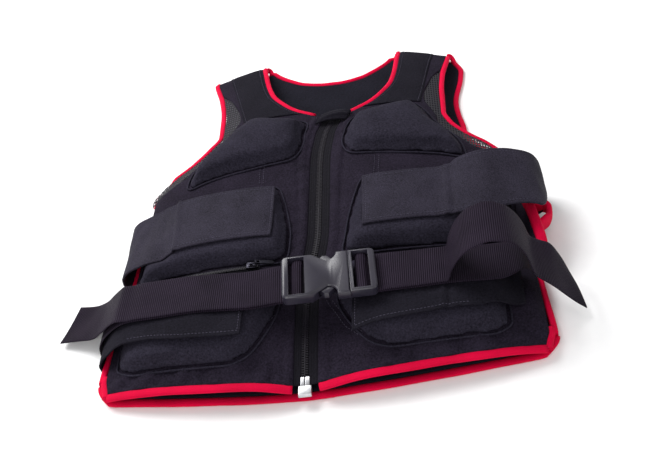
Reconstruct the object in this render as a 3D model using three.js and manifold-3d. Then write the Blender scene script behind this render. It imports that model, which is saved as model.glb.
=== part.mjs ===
// A weighted vest, lying front up with its zip closed and its waist buckle fastened.
// Millimetres, +Z up. The hem is towards -Y and the neck towards +Y. "right" is the wearer's right, at -X.
// The origin is the middle of the flat back that the vest rests on.
import * as THREE from 'three';
import { mergeVertices } from 'three/addons/utils/BufferGeometryUtils.js';
import Module from 'manifold-3d';

const wasm = await Module();
wasm.setup();

// Driving sizes of the laid vest
const BODY_LENGTH = 588;
const BODY_WIDTH = 458;
const SHOULDER_WIDTH = 330;
const NECK_WIDTH = 178;
const NECK_DEPTH = 173;
const TORSO_HEIGHT = 41;
const CLOTH = 3.6;
const MESH_CLOTH = 1.6;
const SEAT = 0.3;
const LAY_SKEW = 0.065;
const ZIP_DRIFT = 20;
const BACK_SHIFT = 13;

// Edge binding
const HEM_BINDING_WIDTH = 9;
const EDGE_BINDING_WIDTH = 6.5;
const BINDING_THICKNESS = 5;

// Zips
const ZIP_TAPE_WIDTH = 9;
const ZIP_TAPE_THICKNESS = 1.2;
const ZIP_CHAIN_WIDTH = 6.4;
const ZIP_CHAIN_THICKNESS = 2.8;
const ZIP_BOX_LENGTH = 11;
const ZIP_BOX_WIDTH = 13;
const ZIP_BOX_THICKNESS = 5;
const ZIP_PIN_LENGTH = 10;
const ZIP_PIN_WIDTH = 4.2;
const GARAGE_WIDTH = 36;
const GARAGE_LENGTH = 17;
const GARAGE_THICKNESS = 2.4;
const GARAGE_SEAT = 1.5;
const PATCH_THICKNESS = 1.2;
const PATCH_SEAT = 1;
const PATCH_LOW = 0.44;
const PATCH_HIGH = 0.96;
const PATCH_INSET = 9;
const POCKET_CHAIN_WIDTH = 5;
const POCKET_CHAIN_THICKNESS = 1.8;
const POCKET_TAPE_WIDTH = 8;
const POCKET_TAPE_THICKNESS = 1;
const POCKET_INNER = 58;
const POCKET_OUTER = 172;
const SLIDER_LENGTH = 10;
const SLIDER_WIDTH = 8;
const SLIDER_HEIGHT = 4;
const PULL_LENGTH = 20;
const PULL_WIDTH = 5;
const PULL_THICKNESS = 1.4;
const PULL_DROOP = 12;

// Weight pads
const CHEST_PAD_HEIGHT = 17;
const RIB_PAD_HEIGHT = 15;
const WAIST_PAD_HEIGHT = 16;
const PAD_EDGE = 2.5;
const PAD_SEAT = 1.2;

// Straps and webbing
const UPPER_STRAP_WIDTH = 80;
const UPPER_STRAP_THICKNESS = 2.6;
const UPPER_STRAP_LIFT = 14;
const LOWER_STRAP_WIDTH = 62;
const LOWER_STRAP_THICKNESS = 2.2;
const WEBBING_WIDTH = 50;
const WEBBING_THICKNESS = 1.5;
const ARCH_HEIGHT = 53;
const ARCH_SPAN = 79;
const TAIL_REACH_RIGHT = 81;
const TAIL_REACH_LEFT = 43;

// Buckle
const BUCKLE_LENGTH = 94;
const BUCKLE_WIDTH = 58;
const BUCKLE_THICKNESS = 12;
const BUCKLE_RISE = 5.5;
const BUCKLE_OFFSET = 25;
const BUCKLE_EDGE = 1.4;
const BUCKLE_WALL = 2.2;
const OUTER_BAR = 6.5;
const MIDDLE_BAR = 5.5;
const OUTER_SLOT = 6;
const INNER_SLOT = 5;
const RAIL = 3.2;
const PLUG_BASE = 27;
const WINDOW_LENGTH = 25;
const WINDOW_DEPTH = 11;
const RUNNING_GAP = 0.5;

const HALF_BODY = BODY_WIDTH / 2;
const HALF_SHOULDER = SHOULDER_WIDTH / 2;
const HALF_NECK = NECK_WIDTH / 2;
const HALF_LENGTH = BODY_LENGTH / 2;
const HEM = -HALF_LENGTH;
const FOLD = HALF_LENGTH;
const NECK_BOTTOM = FOLD - NECK_DEPTH;

const right = -1;
const left = 1;
const SIDES = [['right', right], ['left', left]];

const vest = new THREE.Group();

const cloth = new THREE.MeshStandardMaterial({ color: 0x1d1d22, roughness: 0.85, metalness: 0 });
const padCloth = new THREE.MeshStandardMaterial({ color: 0x26262c, roughness: 0.8, metalness: 0 });
const meshCloth = new THREE.MeshStandardMaterial({ color: 0x2a2a2e, roughness: 0.9, metalness: 0 });
const patchCloth = new THREE.MeshStandardMaterial({ color: 0x2b2b32, roughness: 0.6, metalness: 0 });
const binding = new THREE.MeshStandardMaterial({ color: 0xc4103a, roughness: 0.6, metalness: 0 });
const webbing = new THREE.MeshStandardMaterial({ color: 0x29252a, roughness: 0.75, metalness: 0 });
const buckle = new THREE.MeshStandardMaterial({ color: 0x3c3b44, roughness: 0.4, metalness: 0 });
const zipCloth = new THREE.MeshStandardMaterial({ color: 0x151519, roughness: 0.8, metalness: 0 });
const zipPlastic = new THREE.MeshStandardMaterial({ color: 0x1b1b1e, roughness: 0.45, metalness: 0 });
const zipMetal = new THREE.MeshStandardMaterial({ color: 0xb9babd, roughness: 0.3, metalness: 1 });

// Plain helpers

function add(name, geometry, material) {
  const mesh = new THREE.Mesh(geometry, material);
  mesh.name = name;
  vest.add(mesh);
  return mesh;
}

function lerp(a, b, t) {
  return a + (b - a) * t;
}

function ease(from, to, x) {
  const t = Math.min(1, Math.max(0, (x - from) / (to - from)));
  return t * t * (3 - 2 * t);
}

function steps(from, to, count) {
  return Array.from({ length: count + 1 }, (_, i) => lerp(from, to, i / count));
}

// A smooth curve through the rows of a short table, flat beyond its ends and without overshoot.
function through(rows, key, value) {
  const x = rows.map((row) => row[key]);
  const y = rows.map((row) => row[value]);
  const last = rows.length - 1;
  const slope = x.map((_, i) => {
    if (i === 0 || i === last) return 0;
    const before = (y[i] - y[i - 1]) / (x[i] - x[i - 1]);
    const after = (y[i + 1] - y[i]) / (x[i + 1] - x[i]);
    return before * after <= 0 ? 0 : (2 * before * after) / (before + after);
  });
  return (at) => {
    if (at <= x[0]) return y[0];
    if (at >= x[last]) return y[last];
    let i = 0;
    while (at > x[i + 1]) i += 1;
    const span = x[i + 1] - x[i];
    const t = (at - x[i]) / span;
    const rise = y[i + 1] - y[i];
    const a = slope[i] * span - rise;
    const b = -slope[i + 1] * span + rise;
    return lerp(y[i], y[i + 1], t) + t * (1 - t) * (a * (1 - t) + b * t);
  };
}

// A closed body from points and triangles, turned so that its faces point out.
function closed(points, triangles) {
  let volume = 0;
  for (const [a, b, c] of triangles) {
    volume += points[a].dot(new THREE.Vector3().crossVectors(points[b], points[c]));
  }
  const geometry = new THREE.BufferGeometry();
  geometry.setAttribute('position', new THREE.Float32BufferAttribute(points.flatMap((p) => [p.x, p.y, p.z]), 3));
  geometry.setIndex(triangles.flatMap(([a, b, c]) => (volume < 0 ? [a, c, b] : [a, b, c])));
  geometry.computeVertexNormals();
  return geometry;
}

// A sheet of cloth: surface(u, v) is its middle, and it is thickened both ways along its normal.
function sheet(surface, us, vs, thickness) {
  const step = 0.004;
  const points = [];
  const middles = [];
  for (const v of vs) {
    for (const u of us) {
      const du = surface(Math.min(1, u + step), v).sub(surface(Math.max(0, u - step), v));
      const dv = surface(u, Math.min(1, v + step)).sub(surface(u, Math.max(0, v - step)));
      const normal = du.cross(dv).normalize().multiplyScalar(thickness / 2);
      middles.push([surface(u, v), normal]);
    }
  }
  for (const [middle, normal] of middles) points.push(middle.clone().add(normal));
  for (const [middle, normal] of middles) points.push(middle.clone().sub(normal));
  const columns = us.length;
  const rows = vs.length;
  const below = columns * rows;
  const triangles = [];
  const quad = (a, b, c, d) => triangles.push([a, b, c], [a, c, d]);
  for (let j = 0; j + 1 < rows; j += 1) {
    for (let i = 0; i + 1 < columns; i += 1) {
      const a = j * columns + i;
      quad(a, a + 1, a + columns + 1, a + columns);
      quad(below + a, below + a + columns, below + a + columns + 1, below + a + 1);
    }
  }
  for (let i = 0; i + 1 < columns; i += 1) {
    const far = (rows - 1) * columns + i;
    quad(below + i, below + i + 1, i + 1, i);
    quad(far, far + 1, below + far + 1, below + far);
  }
  for (let j = 0; j + 1 < rows; j += 1) {
    const a = j * columns;
    const b = a + columns - 1;
    quad(a, a + columns, below + a + columns, below + a);
    quad(below + b, below + b + columns, b + columns, b);
  }
  return closed(points, triangles);
}

// A strip of constant section swept along path(t), which gives the place, the outward and the upward direction.
function sweep(path, ts, section) {
  const sides = section.length;
  const points = [];
  for (const t of ts) {
    const { place: at, out, up } = path(t);
    for (const [a, b] of section) points.push(at.clone().addScaledVector(out, a).addScaledVector(up, b));
  }
  const triangles = [];
  for (let k = 0; k + 1 < ts.length; k += 1) {
    for (let i = 0; i < sides; i += 1) {
      const a = k * sides + i;
      const b = k * sides + ((i + 1) % sides);
      triangles.push([a, b, b + sides], [a, b + sides, a + sides]);
    }
  }
  const end = (ts.length - 1) * sides;
  for (let i = 1; i + 1 < sides; i += 1) {
    triangles.push([0, i + 1, i], [end, end + i, end + i + 1]);
  }
  return closed(points, triangles);
}

// A crowned pad on a rounded outline: rings run from its middle to its edge.
function cushion(outline, middle, floor, crown, rings) {
  const around = outline.length;
  const points = [];
  for (const share of rings) {
    for (const p of outline) {
      const x = lerp(middle[0], p[0], share);
      const y = lerp(middle[1], p[1], share);
      points.push(place(x, y, floor(x, y) + crown(share)));
    }
  }
  const topMiddle = points.length;
  points.push(place(middle[0], middle[1], floor(middle[0], middle[1]) + crown(0)));
  const under = points.length;
  for (const share of rings) {
    for (const p of outline) {
      const x = lerp(middle[0], p[0], share);
      const y = lerp(middle[1], p[1], share);
      points.push(place(x, y, floor(x, y)));
    }
  }
  const lowMiddle = points.length;
  points.push(place(middle[0], middle[1], floor(middle[0], middle[1])));
  const triangles = [];
  const next = (i) => (i + 1) % around;
  const band = (inner, outer, flip) => {
    for (let i = 0; i < around; i += 1) {
      const quads = [[inner + i, outer + i, outer + next(i)], [inner + i, outer + next(i), inner + next(i)]];
      for (const [a, b, c] of quads) triangles.push(flip ? [a, c, b] : [a, b, c]);
    }
  };
  for (let k = 0; k + 1 < rings.length; k += 1) band(k * around, (k + 1) * around, false);
  for (let k = 0; k + 1 < rings.length; k += 1) band(under + k * around, under + (k + 1) * around, true);
  band((rings.length - 1) * around, under + (rings.length - 1) * around, false);
  for (let i = 0; i < around; i += 1) {
    triangles.push([topMiddle, i, next(i)], [lowMiddle, under + next(i), under + i]);
  }
  return closed(points, triangles);
}

// The vest's own map. gx runs across from its middle line and row runs from hem to shoulder fold.

const zipDrift = through([
  { row: HEM, x: -ZIP_DRIFT },
  { row: -0.63 * HALF_LENGTH, x: -0.95 * ZIP_DRIFT },
  { row: -0.3 * HALF_LENGTH, x: -0.45 * ZIP_DRIFT },
  { row: 0.1 * HALF_LENGTH, x: -0.48 * ZIP_DRIFT },
  { row: 0.28 * HALF_LENGTH, x: -0.25 * ZIP_DRIFT },
  { row: 0.42 * HALF_LENGTH, x: 0.25 * ZIP_DRIFT },
  { row: FOLD, x: -0.15 * ZIP_DRIFT },
], 'row', 'x');

const HEM_RISE = 24;
const HEM_RISE_REACH = 70;
const SHOULDER_SLOPE = 0.33;

// How far the front hem curves up towards the sides.
function hemRise(gx, row) {
  return HEM_RISE * Math.pow(Math.abs(gx) / HALF_BODY, 1.4) * ease(HEM + HEM_RISE_REACH, HEM, row);
}

// How far the shoulder fold slopes down outside the neck.
function shoulderDrop(gx, row) {
  return SHOULDER_SLOPE * Math.max(0, Math.abs(gx) - HALF_NECK) * ease(0.45 * FOLD, FOLD, row);
}

// A place on the laid vest: the middle line drifts with the zip, and the whole is skewed a little.
function place(gx, row, z) {
  const pull = 1 - Math.min(1, Math.abs(gx) / HALF_BODY);
  const x = gx + zipDrift(row) * pull;
  const y = row + hemRise(gx, row) - shoulderDrop(gx, row) + LAY_SKEW * gx;
  return new THREE.Vector3(x, y, z);
}

// Half width of the front at its outer edge, from hem to shoulder fold
const frontOuter = through([
  { row: HEM, x: 0.962 * HALF_BODY },
  { row: -0.87 * HALF_LENGTH, x: 0.985 * HALF_BODY },
  { row: -0.62 * HALF_LENGTH, x: 0.98 * HALF_BODY },
  { row: -0.38 * HALF_LENGTH, x: 0.942 * HALF_BODY },
  { row: -0.1 * HALF_LENGTH, x: 0.935 * HALF_BODY },
  { row: 0.09 * HALF_LENGTH, x: 0.935 * HALF_BODY },
  { row: 0.14 * HALF_LENGTH, x: 0.895 * HALF_BODY },
  { row: 0.19 * HALF_LENGTH, x: 1.16 * HALF_SHOULDER },
  { row: 0.25 * HALF_LENGTH, x: 1.03 * HALF_SHOULDER },
  { row: 0.32 * HALF_LENGTH, x: 0.92 * HALF_SHOULDER },
  { row: 0.4 * HALF_LENGTH, x: 0.865 * HALF_SHOULDER },
  { row: 0.55 * HALF_LENGTH, x: 0.87 * HALF_SHOULDER },
  { row: 0.72 * HALF_LENGTH, x: 0.9 * HALF_SHOULDER },
  { row: FOLD, x: 0.98 * HALF_SHOULDER },
], 'row', 'x');

// Half width of the neck opening at the front, from its lowest point up to the shoulder fold
const NECK_START = 13;
const neckInner = through([
  { row: NECK_BOTTOM, x: NECK_START },
  { row: NECK_BOTTOM + 0.035 * NECK_DEPTH, x: 0.24 * HALF_NECK },
  { row: NECK_BOTTOM + 0.09 * NECK_DEPTH, x: 0.42 * HALF_NECK },
  { row: NECK_BOTTOM + 0.2 * NECK_DEPTH, x: 0.62 * HALF_NECK },
  { row: NECK_BOTTOM + 0.4 * NECK_DEPTH, x: 0.83 * HALF_NECK },
  { row: NECK_BOTTOM + 0.7 * NECK_DEPTH, x: 0.94 * HALF_NECK },
  { row: FOLD, x: HALF_NECK },
], 'row', 'x');

const ZIP_HALF = ZIP_CHAIN_WIDTH / 2 + SEAT + ZIP_TAPE_WIDTH;

function frontInner(row) {
  return row < NECK_BOTTOM ? ZIP_HALF + SEAT : Math.max(ZIP_HALF + SEAT, neckInner(row));
}

// Height of the middle of the front cloth over the surface, at its plateau, by row
const EDGE_HEIGHT = 8;
const FOLD_HEIGHT = CLOTH + SEAT + CLOTH / 2;
const plateau = through([
  { row: HEM, z: 0.56 * TORSO_HEIGHT },
  { row: -0.82 * HALF_LENGTH, z: 0.7 * TORSO_HEIGHT },
  { row: -0.6 * HALF_LENGTH, z: 0.86 * TORSO_HEIGHT },
  { row: -0.2 * HALF_LENGTH, z: TORSO_HEIGHT },
  { row: 0.3 * HALF_LENGTH, z: TORSO_HEIGHT },
  { row: 0.5 * HALF_LENGTH, z: 0.9 * TORSO_HEIGHT },
  { row: 0.8 * HALF_LENGTH, z: 0.66 * TORSO_HEIGHT },
  { row: 0.93 * HALF_LENGTH, z: 0.5 * TORSO_HEIGHT },
  { row: 0.98 * HALF_LENGTH, z: 0.3 * TORSO_HEIGHT },
  { row: FOLD, z: FOLD_HEIGHT },
], 'row', 'z');

const edgeHeight = through([
  { row: 0.06 * HALF_LENGTH, z: EDGE_HEIGHT },
  { row: 0.2 * HALF_LENGTH, z: 0.4 * TORSO_HEIGHT },
  { row: 0.35 * HALF_LENGTH, z: 0.62 * TORSO_HEIGHT },
  { row: 0.7 * HALF_LENGTH, z: 0.55 * TORSO_HEIGHT },
  { row: 0.92 * HALF_LENGTH, z: 0.42 * TORSO_HEIGHT },
  { row: FOLD, z: FOLD_HEIGHT },
], 'row', 'z');

const SIDE_ROUNDING = 4.5;
const ZIP_VALLEY = 4;
const ZIP_VALLEY_WIDTH = 34;
const HEM_VALLEY = 6;

// Height of the middle of the front cloth: a plateau that rounds down to the sides, with a valley at the zip.
function frontHeight(gx, row) {
  const across = Math.min(1, Math.abs(gx) / frontOuter(row));
  const rounded = 1 - Math.pow(across, SIDE_ROUNDING);
  const valley = ZIP_VALLEY * ease(0.8 * FOLD, 0.3 * FOLD, row) + HEM_VALLEY * ease(-0.75 * HALF_LENGTH, HEM, row);
  const dip = valley * Math.exp(-Math.pow(gx / ZIP_VALLEY_WIDTH, 2));
  return lerp(edgeHeight(row), plateau(row), rounded) - dip;
}

function frontTop(gx, row) {
  return frontHeight(gx, row) + CLOTH / 2;
}

// Front panels, and the mesh that borders the armhole outside them

const MESH_START = 0.05 * HALF_LENGTH;
const MESH_END = 0.8 * HALF_LENGTH;
const MESH_SEAM = 0.8;
const meshWidth = through([
  { row: MESH_START, w: 0 },
  { row: 0.14 * HALF_LENGTH, w: 30 },
  { row: 0.24 * HALF_LENGTH, w: 24 },
  { row: 0.36 * HALF_LENGTH, w: 10 },
  { row: 0.48 * HALF_LENGTH, w: 21 },
  { row: 0.66 * HALF_LENGTH, w: 12 },
  { row: MESH_END, w: 0 },
], 'row', 'w');

const EDGE_INSET = EDGE_BINDING_WIDTH + SEAT;
const SIDE_TOP = 0.07 * HALF_LENGTH;

function frontPanelOuter(row) {
  return frontOuter(row) - EDGE_INSET - meshWidth(row);
}

function frontPanelInner(row) {
  const edge = row > NECK_BOTTOM - 1 ? EDGE_INSET * ease(NECK_BOTTOM - 1, NECK_BOTTOM + 4, row) : 0;
  return frontInner(row) + edge;
}

const FRONT_ROWS = [
  HEM + HEM_BINDING_WIDTH + SEAT,
  ...[-0.9, -0.82, -0.7, -0.56, -0.4, -0.2, 0, 0.08, 0.14, 0.19, 0.25, 0.31].map((share) => share * HALF_LENGTH),
  NECK_BOTTOM - 1,
  NECK_BOTTOM + 4,
  NECK_BOTTOM + 12,
  ...[0.53, 0.62, 0.72, 0.82, 0.91, 0.96, 0.985].map((share) => share * HALF_LENGTH),
  FOLD,
];
const FRONT_COLUMNS = [0, 0.1, 0.25, 0.45, 0.65, 0.8, 0.9, 0.96, 1];

function asShares(values) {
  const from = values[0];
  const span = values[values.length - 1] - from;
  return values.map((value) => (value - from) / span);
}

function frontPanel(side) {
  const first = FRONT_ROWS[0];
  const surface = (u, v) => {
    const row = lerp(first, FOLD, v);
    const gx = lerp(frontPanelInner(row), frontPanelOuter(row), u);
    return place(side * gx, row, frontHeight(gx, row));
  };
  return sheet(surface, FRONT_COLUMNS, asShares(FRONT_ROWS), CLOTH);
}

function armholeMesh(side) {
  const rows = FRONT_ROWS.filter((row) => meshWidth(row) > MESH_SEAM);
  const surface = (u, v) => {
    const row = lerp(rows[0], rows.at(-1), v);
    const outer = frontOuter(row) - EDGE_INSET;
    const gx = lerp(outer - meshWidth(row) + MESH_SEAM, outer, u);
    return place(side * gx, row, frontHeight(gx, row));
  };
  return sheet(surface, [0, 0.5, 1], asShares(rows), MESH_CLOTH);
}

for (const [name, side] of SIDES) {
  add(`front_panel_${name}`, frontPanel(side), cloth);
  add(`armhole_mesh_${name}`, armholeMesh(side), meshCloth);
}

// Back panel: flat where it rests, a little wider than the front, and laid a little to the wearer's left

const backOuter = through([
  { row: HEM, x: 0.86 * HALF_BODY },
  { row: -0.97 * HALF_LENGTH, x: 0.945 * HALF_BODY },
  { row: -0.88 * HALF_LENGTH, x: 0.995 * HALF_BODY },
  { row: -0.62 * HALF_LENGTH, x: 0.98 * HALF_BODY },
  { row: -0.38 * HALF_LENGTH, x: 0.942 * HALF_BODY },
  { row: 0.08 * HALF_LENGTH, x: 0.935 * HALF_BODY },
  { row: 0.15 * HALF_LENGTH, x: 0.89 * HALF_BODY },
  { row: 0.22 * HALF_LENGTH, x: 1.1 * HALF_SHOULDER },
  { row: 0.34 * HALF_LENGTH, x: 0.95 * HALF_SHOULDER },
  { row: 0.55 * HALF_LENGTH, x: 0.9 * HALF_SHOULDER },
  { row: 0.8 * HALF_LENGTH, x: 0.97 * HALF_SHOULDER },
  { row: FOLD, x: HALF_SHOULDER },
], 'row', 'x');

const backNeck = through([
  { x: 0, row: 0.845 * HALF_LENGTH },
  { x: 0.35 * HALF_NECK, row: 0.862 * HALF_LENGTH },
  { x: 0.7 * HALF_NECK, row: 0.92 * HALF_LENGTH },
  { x: 0.92 * HALF_NECK, row: 0.975 * HALF_LENGTH },
  { x: HALF_NECK, row: FOLD },
], 'x', 'row');

function backEdge(side, row) {
  const shift = ease(0.1 * HALF_LENGTH, 0.4 * HALF_LENGTH, row) * ease(FOLD, 0.88 * HALF_LENGTH, row);
  return backOuter(row) + side * BACK_SHIFT * shift;
}

const BACK_ROWS = [
  HEM + HEM_BINDING_WIDTH + SEAT,
  ...[-0.93, -0.88, -0.6, -0.38, -0.1, 0.08, 0.15, 0.22, 0.3, 0.4, 0.55, 0.68, 0.78].map((s) => s * HALF_LENGTH),
];
const BACK_NECK_ROW = BACK_ROWS.at(-1);
const BACK_FOLD = FOLD - 2 * BINDING_THICKNESS;

// Where the back ends at its far side: the neck curve, and the shoulder fold outside it
function backEnd(gx) {
  return Math.min(BACK_FOLD, backNeck(Math.max(0, gx - EDGE_INSET)) - EDGE_INSET);
}

// The back has the neck cut out at its far end, so its last rows bend to that curve.
function backPoint(side, share, flat) {
  const widthRow = Math.min(flat, BACK_FOLD);
  const gx = share * (backEdge(side, widthRow) - EDGE_INSET);
  if (flat <= BACK_NECK_ROW) return [gx, flat];
  const late = (flat - BACK_NECK_ROW) / (BACK_FOLD - BACK_NECK_ROW);
  const end = share * (backEdge(side, BACK_FOLD) - EDGE_INSET);
  return [gx, lerp(BACK_NECK_ROW, backEnd(end), late)];
}

const BACK_COLUMNS = [0, 0.14, 0.3, 0.44, 0.53, 0.585, 0.63, 0.75, 0.88, 1];

function backPanel() {
  const first = BACK_ROWS[0];
  const surface = (u, v) => {
    const across = 2 * u - 1;
    const side = across < 0 ? right : left;
    const [gx, row] = backPoint(side, Math.abs(across), lerp(first, BACK_FOLD, v));
    return place(side * gx, row, CLOTH / 2);
  };
  const across = [...BACK_COLUMNS.slice(1).reverse().map((c) => -c), ...BACK_COLUMNS];
  const rows = asShares([...BACK_ROWS, lerp(BACK_NECK_ROW, BACK_FOLD, 0.5), BACK_FOLD]);
  return sheet(surface, across.map((c) => (c + 1) / 2), rows, CLOTH);
}
add('back_panel', backPanel(), cloth);

// Edge binding: a soft bar that runs just outside the edge that it wraps

function bindingSection(width, thickness) {
  const h = thickness / 2;
  return [
    [SEAT, -h * 0.8],
    [SEAT + 0.6 * width, -h],
    [SEAT + width, -h * 0.45],
    [SEAT + width, h * 0.45],
    [SEAT + 0.6 * width, h],
    [SEAT, h * 0.8],
  ];
}

// An edge is a list of places, each with the cloth's upward direction. turn is 1 or -1 for the free side.
function edgeBinding(edge, turn, section) {
  const path = (i) => {
    const before = edge[Math.max(0, i - 1)].at;
    const after = edge[Math.min(edge.length - 1, i + 1)].at;
    const { at, up } = edge[i];
    const along = after.clone().sub(before).normalize();
    const out = along.cross(up).normalize().multiplyScalar(turn);
    return { place: at, out, up };
  };
  return sweep(path, edge.map((_, i) => i), section);
}

// The upward direction of the front cloth
function frontUp(side, gx, row) {
  const d = 1.5;
  const at = (x, y) => place(side * x, y, frontHeight(x, y));
  const across = at(gx + d, row).sub(at(gx - d, row));
  const along = at(gx, row + d).sub(at(gx, row - d));
  const up = across.cross(along).normalize();
  return up.z < 0 ? up.negate() : up;
}

function frontEdge(side, points) {
  return points.map(([gx, row]) => ({
    at: place(side * gx, row, frontHeight(gx, row)),
    up: frontUp(side, gx, row),
  }));
}

const UP = new THREE.Vector3(0, 0, 1);
const BACK_BINDING_Z = BINDING_THICKNESS / 2;
const RAISED = 0.4;

function backEdgeLine(points, z) {
  return points.map(([gx, row]) => ({ at: place(gx, row, z), up: UP }));
}

const hemSection = bindingSection(HEM_BINDING_WIDTH, BINDING_THICKNESS);
const edgeSection = bindingSection(EDGE_BINDING_WIDTH, BINDING_THICKNESS);

for (const [name, side] of SIDES) {
  const neckRows = FRONT_ROWS.filter((row) => row > NECK_BOTTOM);
  const neckEdge = frontEdge(side, neckRows.map((row) => [frontPanelInner(row), row]));
  add(`neck_binding_${name}`, edgeBinding(neckEdge, -side, edgeSection), binding);

  const armRows = FRONT_ROWS.filter((row) => row > SIDE_TOP);
  const armEdge = frontEdge(side, armRows.map((row) => [frontOuter(row) - EDGE_INSET, row]));
  add(`armhole_binding_front_${name}`, edgeBinding(armEdge, side, edgeSection), binding);

  const backArmRows = [...BACK_ROWS.filter((row) => row > SIDE_TOP), lerp(BACK_NECK_ROW, BACK_FOLD, 0.5), BACK_FOLD];
  const backArm = backArmRows.map((row) => {
    const [gx, y] = backPoint(side, 1, row);
    return [side * gx, y];
  });
  const backArmLine = backEdgeLine(backArm, BACK_BINDING_Z + RAISED);
  add(`armhole_binding_back_${name}`, edgeBinding(backArmLine, side, edgeSection), binding);

  const hemShares = FRONT_COLUMNS;
  const hemRow = FRONT_ROWS[0];
  const hemPoints = hemShares.map((u) => [lerp(frontPanelInner(hemRow), frontPanelOuter(hemRow), u), hemRow]);
  add(`hem_binding_front_${name}`, edgeBinding(frontEdge(side, hemPoints), side, hemSection), binding);
}

// Round the back's hem and both its corners
function backHem() {
  const corner = BACK_ROWS.slice(0, 3);
  const first = BACK_ROWS[0];
  const line = [];
  for (const row of corner.slice(1).reverse()) line.push([-backPoint(right, 1, row)[0], row]);
  for (const share of BACK_COLUMNS.slice(1).reverse()) line.push([-backPoint(right, share, first)[0], first]);
  for (const share of BACK_COLUMNS) line.push([backPoint(left, share, first)[0], first]);
  for (const row of corner.slice(1)) line.push([backPoint(left, 1, row)[0], row]);
  return edgeBinding(backEdgeLine(line, BACK_BINDING_Z), 1, hemSection);
}
add('hem_binding_back', backHem(), binding);

function backNeckBinding() {
  const inner = BACK_COLUMNS.filter((share) => share * (backEdge(left, BACK_FOLD) - EDGE_INSET) < HALF_NECK);
  const point = (side, share) => {
    const [gx, row] = backPoint(side, share, BACK_FOLD);
    return [side * gx, row];
  };
  const line = [...inner.slice(1).reverse().map((share) => point(right, share)), ...inner.map((s) => point(left, s))];
  return edgeBinding(backEdgeLine(line, BACK_BINDING_Z + RAISED), -1, edgeSection);
}
add('neck_binding_back', backNeckBinding(), binding);

// Side binding: one bar that covers the front's and the back's edge, from the hem corner up to the armhole
function sideBinding(side) {
  const low = RAISED;
  const high = EDGE_HEIGHT + CLOTH / 2 + 1.2;
  const section = [
    [0, low],
    [0.7 * EDGE_BINDING_WIDTH, low],
    [EDGE_BINDING_WIDTH, lerp(low, high, 0.3)],
    [EDGE_BINDING_WIDTH, lerp(low, high, 0.7)],
    [0.7 * EDGE_BINDING_WIDTH, high],
    [0, high],
  ];
  const rows = [-0.86, -0.75, -0.6, -0.5, -0.38, -0.24, -0.1, 0, 0.05].map((share) => share * HALF_LENGTH);
  const line = rows.map((row) => {
    const gx = Math.max(frontOuter(row), backEdge(side, row)) - EDGE_BINDING_WIDTH + 2 * SEAT;
    return [side * gx, row];
  });
  return edgeBinding(backEdgeLine(line, 0), side, section);
}
for (const [name, side] of SIDES) add(`side_binding_${name}`, sideBinding(side), binding);

// Weight pads

// An outline with rounded corners. Its sides are cut into pieces no longer than the stride.
function rounded(corners, radius, stride) {
  const points = [];
  const count = corners.length;
  for (let i = 0; i < count; i += 1) {
    const here = new THREE.Vector2(...corners[i]);
    const before = new THREE.Vector2(...corners[(i + count - 1) % count]);
    const after = new THREE.Vector2(...corners[(i + 1) % count]);
    const reach = Math.min(radius, 0.42 * here.distanceTo(before), 0.42 * here.distanceTo(after));
    const from = here.clone().add(before.clone().sub(here).setLength(reach));
    const to = here.clone().add(after.clone().sub(here).setLength(reach));
    const middle = from.clone().add(to).multiplyScalar(0.25).addScaledVector(here, 0.5);
    points.push([from.x, from.y], [middle.x, middle.y], [to.x, to.y]);
    const nextReach = Math.min(radius, 0.42 * here.distanceTo(after));
    const end = after.clone().add(here.clone().sub(after).setLength(nextReach));
    const cuts = Math.floor(to.distanceTo(end) / stride);
    for (let k = 1; k <= cuts; k += 1) {
      const p = to.clone().lerp(end, k / (cuts + 1));
      points.push([p.x, p.y]);
    }
  }
  return points;
}

const PAD_CORNER = 13;
const PAD_STRIDE = 46;
const PAD_RINGS = [0.36, 0.64, 0.84, 0.95, 1];

// The lay draws in the outer side of the waist pad on the wearer's left by this much.
const WAIST_TUCK = 22;

const CHEST_OUTLINE = [
  { x: 0.12, row: 0.37 },
  { x: 0.105, row: 0.2 },
  { x: 0.145, row: 0.122 },
  { x: 0.4, row: 0.085 },
  { x: 0.6, row: 0.06 },
  { x: 0.715, row: 0.034 },
  { x: 0.69, row: 0.15 },
  { x: 0.575, row: 0.28 },
  { x: 0.515, row: 0.36 },
  { x: 0.447, row: 0.43 },
  { x: 0.37, row: 0.42 },
  { x: 0.24, row: 0.385 },
];
const RIB_OUTLINE = [
  { x: 0.21, row: -0.045 },
  { x: 0.17, row: -0.17 },
  { x: 0.14, row: -0.3 },
  { x: 0.13, row: -0.462 },
  { x: 0.89, row: -0.462 },
  { x: 0.885, row: -0.12 },
  { x: 0.84, row: -0.045 },
];
const WAIST_OUTLINE = [
  { x: 0.13, row: -0.497 },
  { x: 0.135, row: -0.69 },
  { x: 0.2, row: -0.79 },
  { x: 0.26, row: -0.86 },
  { x: 0.34, row: -0.895 },
  { x: 0.5, row: -0.895 },
  { x: 0.83, row: -0.895 },
  { x: 0.9, row: -0.85 },
  { x: 0.9, row: -0.497 },
];

function padFloor(gx, row) {
  return frontTop(Math.abs(gx), row) + PAD_SEAT;
}

function makePad(table, height) {
  const corners = table.map(({ x, row }) => [x * HALF_BODY, row * HALF_LENGTH]);
  const outline = rounded(corners, PAD_CORNER, PAD_STRIDE);
  const middle = [0, 1].map((k) => outline.reduce((sum, p) => sum + p[k], 0) / outline.length);
  const crown = (share) => PAD_EDGE + (height - PAD_EDGE) * Math.pow(Math.max(0, 1 - Math.pow(share, 5)), 0.6);
  return { outline, middle, crown };
}

const PADS = {
  chest_pad: makePad(CHEST_OUTLINE, CHEST_PAD_HEIGHT),
  rib_pad: makePad(RIB_OUTLINE, RIB_PAD_HEIGHT),
  waist_pad: makePad(WAIST_OUTLINE, WAIST_PAD_HEIGHT),
};

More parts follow.
